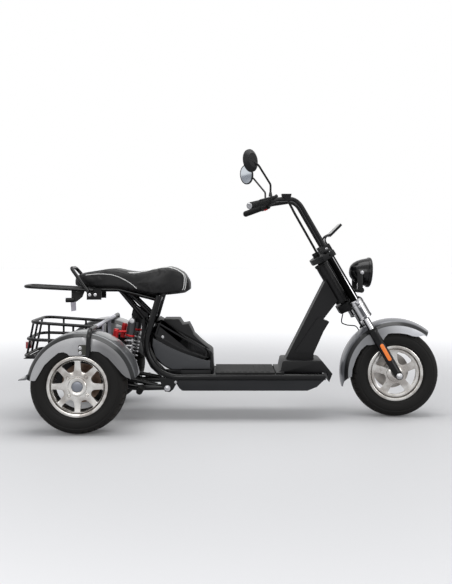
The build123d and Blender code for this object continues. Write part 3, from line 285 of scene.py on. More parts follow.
def gloss_paint(name, colour, rough=0.16):
    """Sprayed gloss: faint orange peel under a clear coat, with a little dust in its roughness."""
    paint = Finish(name, Base_Color=colour, Coat_Weight=0.14, Coat_Roughness=0.06,
                   Specular_IOR_Level=0.2)
    paint.set(Roughness=paint.noise(14.0, 4.0) * 0.16 + rough)
    paint.bump(paint.noise(420.0, 1.0), 0.00012, 0.35)
    return paint


def grained_plastic(name, colour, rough=0.42, grain=900.0, depth=0.00016):
    """Moulded plastic: a fine leathery grain, and faint handling marks in its gloss."""
    plastic = Finish(name, Specular_IOR_Level=0.22)
    speckle = plastic.noise(5.0, 5.0)
    shade = plastic.mix(speckle.step(0.35, 0.75), colour, lit(colour, 1.25))
    plastic.set(Base_Color=shade, Roughness=speckle * 0.16 + rough)
    plastic.bump(plastic.cells(grain), depth, 0.5)
    return plastic


def satin_metal(name, colour, rough=0.32, metallic=1.0):
    """Cast or plated metal with a soft sheen and fine pitting."""
    metal = Finish(name, Base_Color=colour, Metallic=metallic)
    cloud = metal.noise(22.0, 4.0)
    metal.set(Roughness=cloud * 0.2 + rough)
    metal.bump(metal.noise(700.0, 2.0), 0.00008, 0.4)
    return metal


frame_black = gloss_paint("frame_gloss_black", tint(12, 12, 13))
bracket_black = grained_plastic("bracket_satin_black", tint(14, 14, 15), 0.38, 1400.0, 0.00008)
shell_black = grained_plastic("shell_grained_black", tint(17, 17, 18), 0.4)
deck_black = grained_plastic("deck_rubber_black", tint(16, 16, 16), 0.58, 600.0, 0.0003)
pan_grey = grained_plastic("pan_dark_grey", tint(34, 35, 37), 0.42)
panel_grey = gloss_paint("panel_grey", tint(60, 61, 63), 0.3)
grip_rubber = grained_plastic("grip_rubber", tint(14, 14, 14), 0.62, 1200.0, 0.00025)
cable_black = grained_plastic("cable_black", tint(13, 13, 13), 0.5, 1500.0, 0.0001)
bright_steel = satin_metal("bright_steel", tint(190, 190, 192), 0.18)
dark_steel = satin_metal("dark_steel", tint(70, 70, 72), 0.34)
housing_black = satin_metal("axle_housing_black", tint(20, 20, 21), 0.45, 0.3)
white_lamp = Finish("lens_clear", Base_Color=tint(226, 230, 234), Roughness=0.08)
battery_shell = grained_plastic("battery_case", tint(52, 54, 58), 0.5)

# %% [markdown]
# A blank pale tag hangs below the seat's lock. It is the only thin part under the barrel, so the
# mask takes what lies close to the scooter's middle and low enough.

# %% Lock with its tag
lock_and_tag = Finish("lock_and_tag", Specular_IOR_Level=0.25)
low_enough = 1 - lock_and_tag.z.step(0.587, 0.5875)
thin_enough = 1 - abs(lock_and_tag.y).step(0.0017, 0.0019)
tag = low_enough * thin_enough
lock_and_tag.set(Base_Color=lock_and_tag.mix(tag, tint(16, 16, 17), tint(176, 172, 182)))
lock_and_tag.set(Roughness=lock_and_tag.noise(30.0) * 0.15 + 0.38)

# %% [markdown]
# The hoop over the rear wheels is black at its ends, with a light grey sleeve along its middle and
# olive brackets at its feet. One material does all three, by place along the hoop.

# %% Two-tone hoop
hoop_paint = Finish("hoop_two_tone", Coat_Weight=0.2, Specular_IOR_Level=0.25)
sleeve = 1 - abs(hoop_paint.y).step(0.268, 0.27)
bracket = (1 - hoop_paint.x.step(-0.6642, -0.664)) * (1 - hoop_paint.z.step(0.43, 0.432))
black_or_olive = hoop_paint.mix(bracket, tint(12, 12, 13), tint(58, 58, 50))
hoop_paint.set(Base_Color=hoop_paint.mix(sleeve, black_or_olive, tint(186, 186, 196)))
hoop_paint.set(Roughness=hoop_paint.noise(14.0, 4.0) * 0.16 + 0.24)

# %% [markdown]
# The front brake disc is still bright, and the rear ones have turned brown from heat and weather.
# Grinding leaves circles round the axle, so the streaks follow the distance from the centre.

# %% Brake discs


def ground_disc(name, centre_x, centre_z, fresh, aged):
    """Ground steel with circular streaks about an axle and a brown bloom."""
    steel = Finish(name, Metallic=0.9)
    streak = (steel.reach(centre_x, centre_z) * 5200.0).sine() * 0.5 + 0.5
    bloom = steel.noise(26.0, 5.0).step(0.35, 0.7)
    steel.set(Base_Color=steel.mix(bloom, fresh, aged))
    steel.set(Roughness=streak * 0.14 + 0.3)
    steel.bump(streak, 0.00005, 0.4)
    return steel


def middle(node):
    """The centre of a node's box, in metres."""
    low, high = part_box(node)
    return (low + high) / 2


front_hub = middle("front_tyre")
rear_hub = middle("rear_tyre_right")
front_disc_bright = ground_disc("front_disc_steel", front_hub.x, front_hub.z,
                                tint(196, 192, 188), tint(160, 154, 150))
rear_disc_brown = ground_disc("rear_disc_steel", rear_hub.x, rear_hub.z,
                              tint(124, 106, 94), tint(88, 68, 56))
for title, hub in (("front hub", front_hub), ("rear hub", rear_hub)):
    print(title, tuple(round(v, 3) for v in hub))

# %% [markdown]
# Coloured plastics: red anodised canisters at the shocks, the amber reflectors, the red tail
# lamp and the blank dark face of the display.

# %% Small coloured finishes
shock_red = satin_metal("shock_red", tint(178, 26, 30), 0.28, 0.5)
reflector_amber = Finish("reflector_amber", Base_Color=tint(246, 124, 16), Roughness=0.16,
                         Coat_Weight=1.0)
reflector_amber.bump(reflector_amber.cells(420.0), 0.0004, 0.6)
tail_red = Finish("tail_red", Base_Color=tint(150, 14, 18), Roughness=0.14, Coat_Weight=1.0)
tail_red.bump(tail_red.cells(300.0), 0.0004, 0.6)
screen_dark = Finish("display_glass", Base_Color=tint(10, 11, 13), Coat_Weight=0.15,
                     Specular_IOR_Level=0.2)
screen_dark.set(Roughness=screen_dark.noise(30.0) * 0.05 + 0.08)

# %% [markdown]
# Tyre rubber is a warm near-black that goes paler and browner where it meets the road. The
# dust sits by distance from the axle, broken up by noise.

# %% Tyre rubber


def tyre_rubber(name, centre_x, centre_z):
    """Rubber with a dusty tread, by distance from the axle."""
    rubber = Finish(name, Specular_IOR_Level=0.2)
    near_tread = rubber.reach(centre_x, centre_z).step(0.196, 0.226)
    dust = near_tread * rubber.noise(40.0, 5.0).step(0.3, 0.8)
    rubber.set(Base_Color=rubber.mix(dust, tint(15, 14, 13), tint(44, 39, 35)))
    rubber.set(Roughness=dust * 0.25 + 0.56)
    rubber.bump(rubber.noise(900.0, 2.0), 0.00012, 0.5)
    return rubber


front_rubber = tyre_rubber("front_tyre_rubber", front_hub.x, front_hub.z)
rear_rubber = tyre_rubber("rear_tyre_rubber", rear_hub.x, rear_hub.z)

# %% [markdown]
# The pieces that keep their CAD form now take their finishes, and the decks and the pan take theirs
# along to the bench. The table reads as a parts list: each node beside its finish. What isn't in it
# is modelled again below, and stands in plain black until then.

# %% Finishes for the CAD pieces
node_finishes = {
    "main_frame": frame_black, "neck": shell_black, "neck_covers": shell_black,
    "front_deck": shell_black, "rear_deck": shell_black, "footboard": deck_black,
    "belly_pan": pan_grey, "battery": battery_shell, "seat_frame": frame_black,
    "grab_rack": frame_black, "grab_hoop": frame_black, "seat_lock": lock_and_tag,
    "basket": frame_black, "tail_light": tail_red, "fender_hoop": hoop_paint,
    "inner_mudguard": shell_black, "swingarm": frame_black, "rear_axle": housing_black,
    "foot_pegs": grip_rubber, "shock_bodies": dark_steel, "handlebar": frame_black,
    "mirror_stalks": frame_black, "control_cables": cable_black, "brake_hose": cable_black,
    "front_disc": front_disc_bright, "rear_disc_left": rear_disc_brown,
    "rear_disc_right": rear_disc_brown,
}
for name, node in nodes.items():
    node.data.materials.clear()
    node.data.materials.append(node_finishes.get(name, bracket_black).material)
print("left to the bench:", sorted(set(nodes) - set(node_finishes)))

# %% [markdown]
# The tools of the bench. Blender's operators act on whatever is selected, and the loaded frame
# comes in selected, so every piece starts by clearing the selection. When a piece is done, its
# place goes into its mesh, its shading is smoothed, and it is told which body carries it.

# %% Bench tools
import bmesh

MM = 0.001
LOOSE = 0.00002
DOUBLES = 0.00001


def clear():
    """Deselect everything before a new piece."""
    if bpy.context.object and bpy.context.object.mode == "EDIT":
        bpy.ops.object.mode_set(mode="OBJECT")
    bpy.ops.object.select_all(action="DESELECT")


def only(piece):
    """Select one piece and make it the active one."""
    clear()
    piece.select_set(True)
    bpy.context.view_layer.objects.active = piece
    return piece


def pick(kind, test):
    """In edit mode, select only the faces, edges or verts that pass a test."""
    bpy.ops.mesh.select_all(action="DESELECT")
    sketch = bmesh.from_edit_mesh(bpy.context.object.data)
    for part in getattr(sketch, kind):
        part.select_set(bool(test(part)))
    sketch.select_flush_mode()
    bmesh.update_edit_mesh(bpy.context.object.data)


def modifier(piece, kind, **settings):
    """Add a modifier with its settings and apply it at once."""
    only(piece)
    made = piece.modifiers.new(kind.lower(), kind)
    for name, value in settings.items():
        setattr(made, name, value)
    bpy.ops.object.modifier_apply(modifier=made.name)


def join(name, *parts):
    """Join meshes into the first, under one name."""
    clear()
    for part in parts:
        part.select_set(True)
    bpy.context.view_layer.objects.active = parts[0]
    bpy.ops.object.join()
    parts[0].name = name
    return parts[0]


def done(piece, finish, body, stands_for=(), sharp=35):
    """Put the place in the mesh, smooth the shading, give the finish and hang it on its body."""
    only(piece)
    bpy.ops.object.transform_apply(location=True, rotation=True, scale=True)
    bpy.ops.object.shade_smooth_by_angle(angle=math.radians(sharp))
    if finish is not None:
        piece.data.materials.clear()
        piece.data.materials.append(finish.material)
    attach(piece, body)
    if stands_for:
        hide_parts(*stands_for)
    print(piece.name, len(piece.data.polygons), "faces on", body)
    return piece


def other_side(piece, name):
    """A mirrored copy of a piece on the scooter's other side, facing outwards."""
    only(piece)
    bpy.ops.object.duplicate()
    twin = bpy.context.object
    twin.name = name
    twin.scale.y = -1
    bpy.ops.object.transform_apply(location=True, rotation=True, scale=True)
    bpy.ops.object.mode_set(mode="EDIT")
    bpy.ops.mesh.select_all(action="SELECT")
    bpy.ops.mesh.flip_normals()
    bpy.ops.object.mode_set(mode="OBJECT")
    return twin


def merged_copy(node, name):
    """A copy of a CAD node's mesh with its loose triangles merged."""
    clear()
    piece = bpy.data.objects.new(name, nodes[node].data.copy())
    bpy.context.scene.collection.objects.link(piece)
    only(piece)
    bpy.ops.object.mode_set(mode="EDIT")
    bpy.ops.mesh.select_all(action="SELECT")
    bpy.ops.mesh.remove_doubles(threshold=LOOSE)
    bpy.ops.mesh.customdata_custom_splitnormals_clear()
    bpy.ops.object.mode_set(mode="OBJECT")
    return piece


def thread(name, points, thickness, segments=8, order=3, cyclic=False):
    """A round line along points: a smooth curve with a bevel, turned into a mesh."""
    data = bpy.data.curves.new(name, "CURVE")
    data.dimensions = "3D"
    data.bevel_depth = thickness
    data.bevel_resolution = max(1, segments // 4)
    data.use_fill_caps = True
    line = data.splines.new("NURBS")
    line.points.add(len(points) - 1)
    for spot, place in zip(line.points, points):
        spot.co = (*place, 1.0)
    line.order_u = order
    line.use_cyclic_u = cyclic
    line.use_endpoint_u = not cyclic
    line.resolution_u = 8
    piece = bpy.data.objects.new(name, data)
    bpy.context.scene.collection.objects.link(piece)
    only(piece)
    bpy.ops.object.convert(target="MESH")
    return bpy.context.object

# %% [markdown]
# Most pieces start in one of two ways. A turned piece is a drawn half profile spun about its axis,
# as on a lathe. A pushed piece is a drawn outline, filled and pushed to its thickness. Both take
# millimetres, which are the units of the bench.

# %% Lathe, outlines and cutters
ACROSS = Vector((0, 1, 0))
FORWARD = Vector((1, 0, 0))
RISING = Vector((0, 0, 1))


def drawn(name, points, closed=False):
    """A line of edges through points given in millimetres."""
    spots = [Vector(point) * MM for point in points]
    edges = [(i, i + 1) for i in range(len(spots) - 1)]
    if closed:
        edges.append((len(spots) - 1, 0))
    data = bpy.data.meshes.new(name)
    data.from_pydata(spots, edges, [])
    piece = bpy.data.objects.new(name, data)
    bpy.context.scene.collection.objects.link(piece)
    return only(piece)


def sealed(piece):
    """Merge doubles and turn all faces outwards."""
    only(piece)
    bpy.ops.object.mode_set(mode="EDIT")
    bpy.ops.mesh.select_all(action="SELECT")
    bpy.ops.mesh.remove_doubles(threshold=DOUBLES)
    bpy.ops.mesh.normals_make_consistent(inside=False)
    bpy.ops.object.mode_set(mode="OBJECT")
    return piece


def turned(name, profile, centre, along=ACROSS, steps=64, closed=False):
    """Spin a profile of (radius, distance along) points about an axis through a centre."""
    along = Vector(along).normalized()
    helper = RISING if abs(along.z) < 0.9 else FORWARD
    outward = along.cross(helper).normalized()
    centre = Vector(centre)
    points = [centre + outward * radius + along * distance for radius, distance in profile]
    piece = drawn(name, points, closed)
    bpy.ops.object.mode_set(mode="EDIT")
    bpy.ops.mesh.select_all(action="SELECT")
    bpy.ops.mesh.spin(steps=steps, angle=math.tau, center=centre * MM, axis=along)
    bpy.ops.object.mode_set(mode="OBJECT")
    return sealed(piece)


def pushed(name, points, push):
    """Fill a closed outline and push it into a solid by a vector in millimetres."""
    piece = drawn(name, points, closed=True)
    bpy.ops.object.mode_set(mode="EDIT")
    bpy.ops.mesh.select_all(action="SELECT")
    bpy.ops.mesh.edge_face_add()
    bpy.ops.mesh.extrude_region_move(TRANSFORM_OT_translate={"value": Vector(push) * MM})
    bpy.ops.object.mode_set(mode="OBJECT")
    return sealed(piece)


def eased(piece, width, segments=2, angle=35):
    """Round the edges that are sharper than an angle."""
    modifier(piece, "BEVEL", width=width * MM, segments=segments, limit_method="ANGLE",
             angle_limit=math.radians(angle), harden_normals=False)
    return piece


def cut(piece, *cutters):
    """Take cutters out of a piece, and remove them."""
    for cutter in cutters:
        only(piece)
        made = piece.modifiers.new("cut", "BOOLEAN")
        made.operation = "DIFFERENCE"
        made.solver = "EXACT"
        made.object = cutter
        bpy.ops.object.modifier_apply(modifier=made.name)
        bpy.data.objects.remove(cutter)
    return piece


def bolt(name, place, along, radius=5.0, tall=4.0):
    """A hexagon head with a washer and a chamfered top, pointing along a direction."""
    along = Vector(along).normalized()
    place = Vector(place)
    disc = [(0, 0), (radius * 1.35, 0), (radius * 1.35, 0.9), (radius * 1.1, 1.2), (0, 1.2)]
    hexagon = [(0, 1.1), (radius, 1.1), (radius, tall - 0.8), (radius * 0.86, tall), (0, tall)]
    washer = turned(name, disc, place, along, 20)
    head = turned(name + "_head", hexagon, place, along, 6)
    return join(name, washer, head)


def near_and_far(make, name):
    """Make a piece on the near side, the rider's right, and join its mirror image to it."""
    near = make(name)
    far = other_side(near, name + "_far")
    return join(name, near, far)


print("bench ready")

# %% [markdown]
# A tyre is a lathe job. The half profile below has the bead, two fine ridges that protect the rim,
# the bulging wall and a crown with grooves round it. After the spin, every fifth face on each
# shoulder is pushed in, which leaves the cross grooves that grip when the scooter leans.

# %% Tyres
TYRE_STEPS = 240
GROOVE_EVERY = 5
GROOVE_DEEP = 0.0032


def tyre(name, node, finish, body):
    """A tyre over a CAD tyre, with its tread cut in."""
    low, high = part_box(node)
    centre = (low + high) / 2 / MM
    half = (high.y - low.y) / 2 / MM
    wall = [(128, half - 16), (141.5, half - 15), (145, half - 9), (149, half - 5.4),
            (152, half - 2.6), (154, half - 3.4), (158, half - 1.7), (169, half - 0.5), (182, half),
            (189, half - 0.8), (190.5, half - 2.2), (193, half - 2.3), (194.5, half - 1.6),
            (203, half - 5), (209, half - 9.2), (214, half - 14.5), (218, half - 22), (220.6, 27),
            (221.2, 24), (217, 23), (217, 19.5), (222, 18.5), (224, 10), (225, 0)]
    profile = wall + [(radius, -along) for radius, along in reversed(wall[:-1])]
    piece = turned(name, profile, centre, ACROSS, TYRE_STEPS, closed=True)
    bpy.ops.object.mode_set(mode="EDIT")
    step_angle = math.tau / TYRE_STEPS
    middle_point = centre * MM

    def on_shoulder(face):
        spot = face.calc_center_median() - middle_point
        radius = math.hypot(spot.x, spot.z)
        if not 0.204 < radius < 0.2215 or abs(spot.y) < 0.0245:
            return False
        turn = math.atan2(spot.z, spot.x) % math.tau
        number = int(turn / step_angle + 0.01) + (2 if spot.y > 0 else 0)
        return number % GROOVE_EVERY == 0

    pick("faces", on_shoulder)
    bpy.ops.mesh.extrude_region_shrink_fatten(TRANSFORM_OT_shrink_fatten={"value": -GROOVE_DEEP})
    bpy.ops.object.mode_set(mode="OBJECT")
    return done(piece, finish, body, [node], 40)


tyre("tyre_front", "front_tyre", front_rubber, "front_wheel")
tyre("tyre_rear_right", "rear_tyre_right", rear_rubber, "rear_wheel_right")
tyre("tyre_rear_left", "rear_tyre_left", rear_rubber, "rear_wheel_left")

# %% [markdown]
# The cast rims are bright: a rolled lip at each side, a barrel between them, and a dish of spokes
# near the outer face. The rear dish has eight windows and the front one five wide ones. A window
# is drawn once with its corners beveled, pushed into a cutter, and copied round the hub.

# %% Cast rims
rim_alloy = Finish("rim_alloy", Metallic=0.95)
buffed = rim_alloy.noise(16.0, 3.0)
dulled = buffed.step(0.38, 0.68)
rim_alloy.set(Base_Color=rim_alloy.mix(dulled, tint(222, 220, 216), tint(174, 169, 164)))
rim_alloy.set(Roughness=buffed * 0.22 + 0.12)
hub_grey = satin_metal("hub_cap_grey", tint(128, 131, 138), 0.3, 0.7)
RIM_STEPS = 96
REAR_WINDOW = (70, 121, 9.5, 16.8, 10)
FRONT_WINDOW = (54, 110, 17, 26, 13)
print("rim alloy and cap grey mixed")

# %% [markdown]
# A window is given by its inner and outer radius, its half angle at each of them, and how round
# its corners are. The same cutter serves both dishes, and the rear rim gets its bolts and cap.

# %% Dishes with their windows


def window_cutter(name, centre, inner, outer, inner_angle, outer_angle, turn, corners):
    """A cutter shaped like one window, with rounded corners, at an angle round the hub."""
    corner_points = [(inner, -inner_angle), (inner, inner_angle), (outer, outer_angle),
                     (outer, 0), (outer, -outer_angle)]
    outline = []
    for radius, angle in corner_points:
        swing = math.radians(turn + angle)
        outline.append(centre + Vector((math.cos(swing) * radius, 0, math.sin(swing) * radius)))
    cutter = drawn(name, outline, closed=True)
    bpy.ops.object.mode_set(mode="EDIT")
    bpy.ops.mesh.select_all(action="SELECT")
    bpy.ops.mesh.edge_face_add()
    bpy.ops.mesh.bevel(affect="VERTICES", offset=corners * MM, segments=5)
    bpy.ops.mesh.select_all(action="SELECT")
    bpy.ops.transform.translate(value=(0, -0.1, 0))
    bpy.ops.mesh.extrude_region_move(TRANSFORM_OT_translate={"value": (0, 0.2, 0)})
    bpy.ops.object.mode_set(mode="OBJECT")
    return sealed(cutter)


def rim(name, tyre_node, outward, bore, count, window, first_turn):
    """The barrel with its rolled lips and the spoked dish of one rim, inside its tyre."""
    low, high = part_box(tyre_node)
    centre = (low + high) / 2 / MM
    well = (high.y - low.y) / 2 / MM - 14
    out = Vector((0, outward, 0))
    lip = [(119, well - 20), (126.5, well - 12), (127, well), (127.5, well + 1.6), (131, well + 3),
           (139, well + 3), (141, well + 2.2), (141, well + 0.4), (139, well - 0.4),
           (129.5, well - 0.8), (129, well - 14), (121.5, well - 22)]
    both_lips = lip + [(radius, -along) for radius, along in reversed(lip)]
    barrel = turned(name, both_lips, centre, out, RIM_STEPS, closed=True)
    dish_profile = [(bore, well + 2), (24, well + 2), (25, well), (42, well), (44, well - 5),
                    (50, well - 5), (72, well - 7), (98, well - 8), (113, well - 5),
                    (120.5, well - 4), (120.5, well - 13), (113, well - 15), (98, well - 19),
                    (72, well - 18), (46, well - 34), (44, well - 95), (bore, well - 95)]
    dish = turned(name + "_dish", dish_profile, centre, out, RIM_STEPS, closed=True)
    cutters = []
    for number in range(count):
        turn = first_turn + number * 360 / count
        cutters.append(window_cutter("window", centre, *window[:4], turn, window[4]))
    cut(dish, *cutters)
    eased(dish, 1.6, 2, 40)
    return barrel, dish, centre, well, out


def rear_rim(side, outward):
    """A rear rim with eight windows, four bolts and a grey cap."""
    name = "rim_rear_" + side
    node = "rear_rim_" + side
    barrel, dish, centre, well, out = rim(name, "rear_tyre_" + side, outward, 14.3, 8,
                                          REAR_WINDOW, 22.5)
    bolts = []
    for number in range(4):
        swing = math.radians(48 + number * 90)
        spot = centre + Vector((math.cos(swing) * 58, 0, math.sin(swing) * 58)) + out * (well - 5.6)
        well_profile = [(6.4, 0), (8.6, 0), (9.4, 1.6), (8.4, 2.6), (6.4, 1.4)]
        well_ring = turned(name + "_spot", well_profile, spot, out, 24, closed=True)
        bolts.append(join(name + "_bolt", bolt(name + "_head", spot, out, 4.4, 5), well_ring))
    ring_profile = [(27, well), (43, well + 0.5), (43, well + 4), (40, well + 6.5),
                    (31, well + 6.5), (27, well + 4)]
    ring = turned(name + "_ring", ring_profile, centre, out, 64, closed=True)
    whole = join(name, barrel, dish, ring, *bolts)
    done(whole, rim_alloy, "rear_wheel_" + side, [node])
    cap_profile = [(0, well + 7), (18, well + 7), (23, well + 5.5), (26, well + 2), (26, well)]
    cap = turned("hub_cap_" + side, cap_profile, centre, out, 48)
    done(cap, hub_grey, "rear_wheel_" + side)


rear_rim("right", -1)
rear_rim("left", 1)

# %% [markdown]
# The front rim is the same casting with five wide windows, turned a little so that a spoke points
# down and back at rest. A plain ring stands round its axle, since this hub has no bolts.

# %% Front rim
barrel, dish, centre, well, out = rim("rim_front", "front_tyre", -1, 8.3, 5, FRONT_WINDOW, -13)
hub_profile = [(20, well), (36, well), (36, well + 6), (30, well + 10), (20, well + 10)]
hub_ring = turned("rim_front_hub", hub_profile, centre, out, 64, closed=True)
done(join("rim_front", barrel, dish, hub_ring), rim_alloy, "front_wheel",
     ["front_rim"])

# %% [markdown]
# The fenders wear the only coloured paint: a cool grey with metal flake, which is a scatter of tiny
# cells, each with its own brightness, under a clear coat.
# They keep the form of the frame: a bowed crown, a sloping shoulder and flat skirts. Their
# pressed edges are rolled, which a small bevel gives. The crown is painted a darker grey than the
# skirts, as painted shade. The shoulder carries a band of painted shade all the way round, near
# black, placed by distance from the fender's own centre. The flat skirts get painted shade towards
# the middle of the scooter, where the real ones face the black frame.

# %% Fenders
FLAKE_SCALE = 1600.0


def fender_paint(name, centre_x, centre_z, crease, edge, skirt_lit_tint, crown_shaded_tint):
    """Metallic paint with fine flake: a painted shade band on the shoulder between two radii, a
    crown in painted shade, and painted shade on the skirts towards the middle.
    """
    paint = Finish(name, Specular_IOR_Level=0.3, Coat_Roughness=0.06)
    across = paint.x - centre_x
    radius = paint.reach(centre_x, centre_z)
    above_crease = radius.step(crease - 0.001, crease + 0.001)
    above_edge = radius.step(edge - 0.004, edge + 0.002)
    scatter = {"Vector": paint.place, "Scale": FLAKE_SCALE}
    flake = paint.node("ShaderNodeTexVoronoi", None, scatter, output="Color")
    sparkle = paint.node("ShaderNodeSeparateColor", None, {0: flake})
    skirt = paint.mix(sparkle, skirt_lit_tint, lit(skirt_lit_tint, 1.25))
    # Painted shade: the skirt's colour darkens towards the scooter's middle, where it faces the
    # black frame.
    shade = across.step(-0.02, 0.12) if centre_x < 0 else 1 - across.step(-0.1, 0.06)
    skirt = paint.mix(shade, skirt, lit(skirt_lit_tint, 0.45))
    # Painted shade: the crown is a darker copy of the same paint, and the shoulder band is painted
    # near black.
    crown = paint.mix(sparkle, crown_shaded_tint, lit(crown_shaded_tint, 1.2))
    upper = paint.mix(above_edge, tint(24, 25, 26), crown)
    shoulder = above_crease - above_edge
    paint.set(Base_Color=paint.mix(above_crease, skirt, upper))
    paint.set(Roughness=paint.noise(9.0, 3.0) * 0.12 + 0.26)
    paint.set(Metallic=0.45 - shoulder * 0.4, Coat_Weight=0.6 - shoulder * 0.5)
    return paint


# Each fender's first tint is its lit skirt, and its second is the crown in painted shade.
REAR_ARCH_X, REAR_ARCH_Z = -0.693, 0.221
rear_paint = fender_paint("fender_paint_rear", REAR_ARCH_X, REAR_ARCH_Z, 0.2345, 0.2525,
                          tint(160, 160, 161), tint(104, 105, 107))
front_paint = fender_paint("fender_paint_front", front_hub.x, front_hub.z, 0.2465, 0.2655,
                           tint(196, 197, 200), tint(116, 117, 121))
for node, name, finish, body in (
        ("rear_fender_right", "fender_rear_right", rear_paint, "chassis"),
        ("rear_fender_left", "fender_rear_left", rear_paint, "chassis"),
        ("front_fender", "fender_front", front_paint, "steering")):
    shell = eased(merged_copy(node, name), 1.1, 2, 30)
    done(shell, finish, body, [node], 30)

# %% [markdown]
# Small bolts hold the fenders to the hoop's brackets and the panels to the frame. One helper draws
# a bolt, and a table says where each one goes, near side first. The far side gets its mirror image.

# %% Bolts on the chassis
# Each bolt: its place, the way it points, and its head's radius.
CHASSIS_BOLTS = [
    ((-694, -418.6, 407), (0, -1, 0), 6), ((-694, -418.6, 385), (0, -1, 0), 6),
    ((-346, -109, 419), (0, -1, 0), 5), ((-494, -157, 505), (0, -1, 0), 9),
    ((-720, -72.5, 628), (0, -1, 0), 6), ((-692, -72.5, 628), (0, -1, 0), 6),
    ((-320, -139, 168), (0, -1, 0), 11), ((-280, -129.5, 196), (0, -1, 0), 5),
]


def chassis_bolts(name):
    """All the bolts of the table, as one piece."""
    return join(name, *[bolt(name + str(i), *spot) for i, spot in enumerate(CHASSIS_BOLTS)])


done(near_and_far(chassis_bolts, "chassis_bolts"), bright_steel, "chassis")

# %% [markdown]
# The shocks' springs are real coils: a helix of points round the damper, and a round wire along
# them. The first and last turns lie closer together, as on a ground spring.

# %% Coil springs
SHOCK_TOP = Vector((-494, -138, 505))
SHOCK_FOOT = Vector((-540, -138, 214))
COIL_TURNS, TURN_POINTS = 7.5, 14
COIL_RADIUS = 21
COIL_WIRE = 0.0042
CLOSED_ENDS = 0.045
shock_line = (SHOCK_FOOT - SHOCK_TOP).normalized()


def coil(name):
    """One spring on the near shock."""
    sideways = shock_line.cross(ACROSS).normalized()
    points = []
    for number in range(int(COIL_TURNS * TURN_POINTS) + 1):
        share = number / (COIL_TURNS * TURN_POINTS)
        eased_share = share + CLOSED_ENDS * math.sin(math.tau * share)
        swing = math.tau * number / TURN_POINTS
        ring = ACROSS * math.cos(swing) * COIL_RADIUS + sideways * math.sin(swing) * COIL_RADIUS
        points.append((SHOCK_TOP + shock_line * (84 + 166 * eased_share) + ring) * MM)
    return thread(name, points, COIL_WIRE, 8)


def damper(name):
    """The damper's body inside the spring, and the plates that the spring sits on."""
    body = turned(name, [(11, 78), (11, 140), (8, 142), (8, 256)], SHOCK_TOP, shock_line, 32)
    upper = turned(name + "_plate", [(9, 80), (25, 80), (26, 81.5), (25, 83), (9, 83)], SHOCK_TOP,
                   shock_line, 40, closed=True)
    lower = turned(name + "_seat", [(9, 250), (25, 250), (26, 252), (24, 255), (9, 255)],
                   SHOCK_TOP, shock_line, 40, closed=True)
    return join(name, body, upper, lower)


done(near_and_far(coil, "shock_coils"), bright_steel, "chassis",
     ["shock_springs"], 60)
done(near_and_far(damper, "dampers"), dark_steel, "chassis")

# %% [markdown]
# The canisters beside the shocks are turned aluminium, anodised red, with a waist near each end.
# The collar above the spring is the same red.

# %% Canisters and collars
CANISTER_TOP = SHOCK_TOP + shock_line * 40 + Vector((-72, 0, 0))


def canister(name):
    """The near canister, its link to the shock, and the collar above the spring."""
    shell_profile = [(0, 2), (12, 2), (13, 4), (13, 10), (14, 11), (14, 66), (13, 67), (13, 72),
                     (14, 73), (14, 78), (12, 80), (0, 80)]
    link_profile = [(0, 12), (7, 12), (7, 16), (5.5, 18), (5.5, 51), (0, 51)]
    collar_profile = [(9, 70.5), (21, 70.5), (23, 72), (23, 78), (21.5, 79.5), (9, 79.5)]
    shell = turned(name, shell_profile, CANISTER_TOP, shock_line, 40)
    link = turned(name + "_link", link_profile, CANISTER_TOP + shock_line * 16, FORWARD, 20)
    collar = turned(name + "_collar", collar_profile, SHOCK_TOP, shock_line, 48, closed=True)
    return join(name, shell, link, collar)


done(near_and_far(canister, "canisters"), shock_red, "chassis", ["shock_canisters"])

# %% [markdown]
# The panels of the case under the seat: a dark raised plate over a grey one. Both are pressed sheet
# with rounded edges, so a copy of each solid gets a wide bevel, and the dark plate a sunken field.

# %% Case panels and covers


def on_flat_side(face):
    """Whether a face is part of the dark plate's flat outer side."""
    return abs(face.normal.y) > 0.99 and abs(face.calc_center_median().y) > 0.106


panel = eased(merged_copy("side_panels", "case_side_panels"), 2.6, 3, 40)
done(panel, panel_grey, "chassis", ["side_panels"])
covers = merged_copy("case_covers", "case_covers_dressed")
bpy.ops.object.mode_set(mode="EDIT")
pick("faces", on_flat_side)
bpy.ops.mesh.dissolve_faces()
pick("faces", on_flat_side)
bpy.ops.mesh.inset(thickness=0.007, depth=0)
bpy.ops.mesh.inset(thickness=0.002, depth=-0.002)
bpy.ops.object.mode_set(mode="OBJECT")
eased(covers, 1.6, 2, 40)
done(covers, shell_black, "chassis", ["case_covers"])
case = eased(merged_copy("controller_case", "case_dressed"), 4, 3, 30)
done(case, shell_black, "chassis", ["controller_case"])
for node, width in (("front_deck", 3.0), ("rear_deck", 1.5), ("belly_pan", 3.0)):
    piece = eased(merged_copy(node, node + "_dressed"), width, 3, 30)
    done(piece, node_finishes[node], "chassis", [node])

# %% [markdown]
# The fork's moving tubes are chromed, and so are the wide covers under the lower yoke. The sliders
# below them are painted gloss black and end in a round lug for the axle. Each is turned about the
# fork leg, so the leg's own axis is worked out first from the rake of the steering head.

# %% The fork's own directions
RAKE = math.radians(30)
FORK_OFFSET = 46
UP = Vector((-math.sin(RAKE), 0, math.cos(RAKE)))
AHEAD = Vector((math.cos(RAKE), 0, math.sin(RAKE)))
FRONT_AXLE = front_hub / MM
HEAD = FRONT_AXLE - AHEAD * FORK_OFFSET


def at_head(forward, side, height):
    """A point ahead of, beside and along the steering axis, in millimetres."""
    return HEAD + AHEAD * forward + Vector((0, side, 0)) + UP * height


LEG = at_head(FORK_OFFSET, -100, 0)
BAND_WIDTH = 0.08
chrome = satin_metal("lamp_chrome", tint(226, 226, 228), 0.05, 1.0)


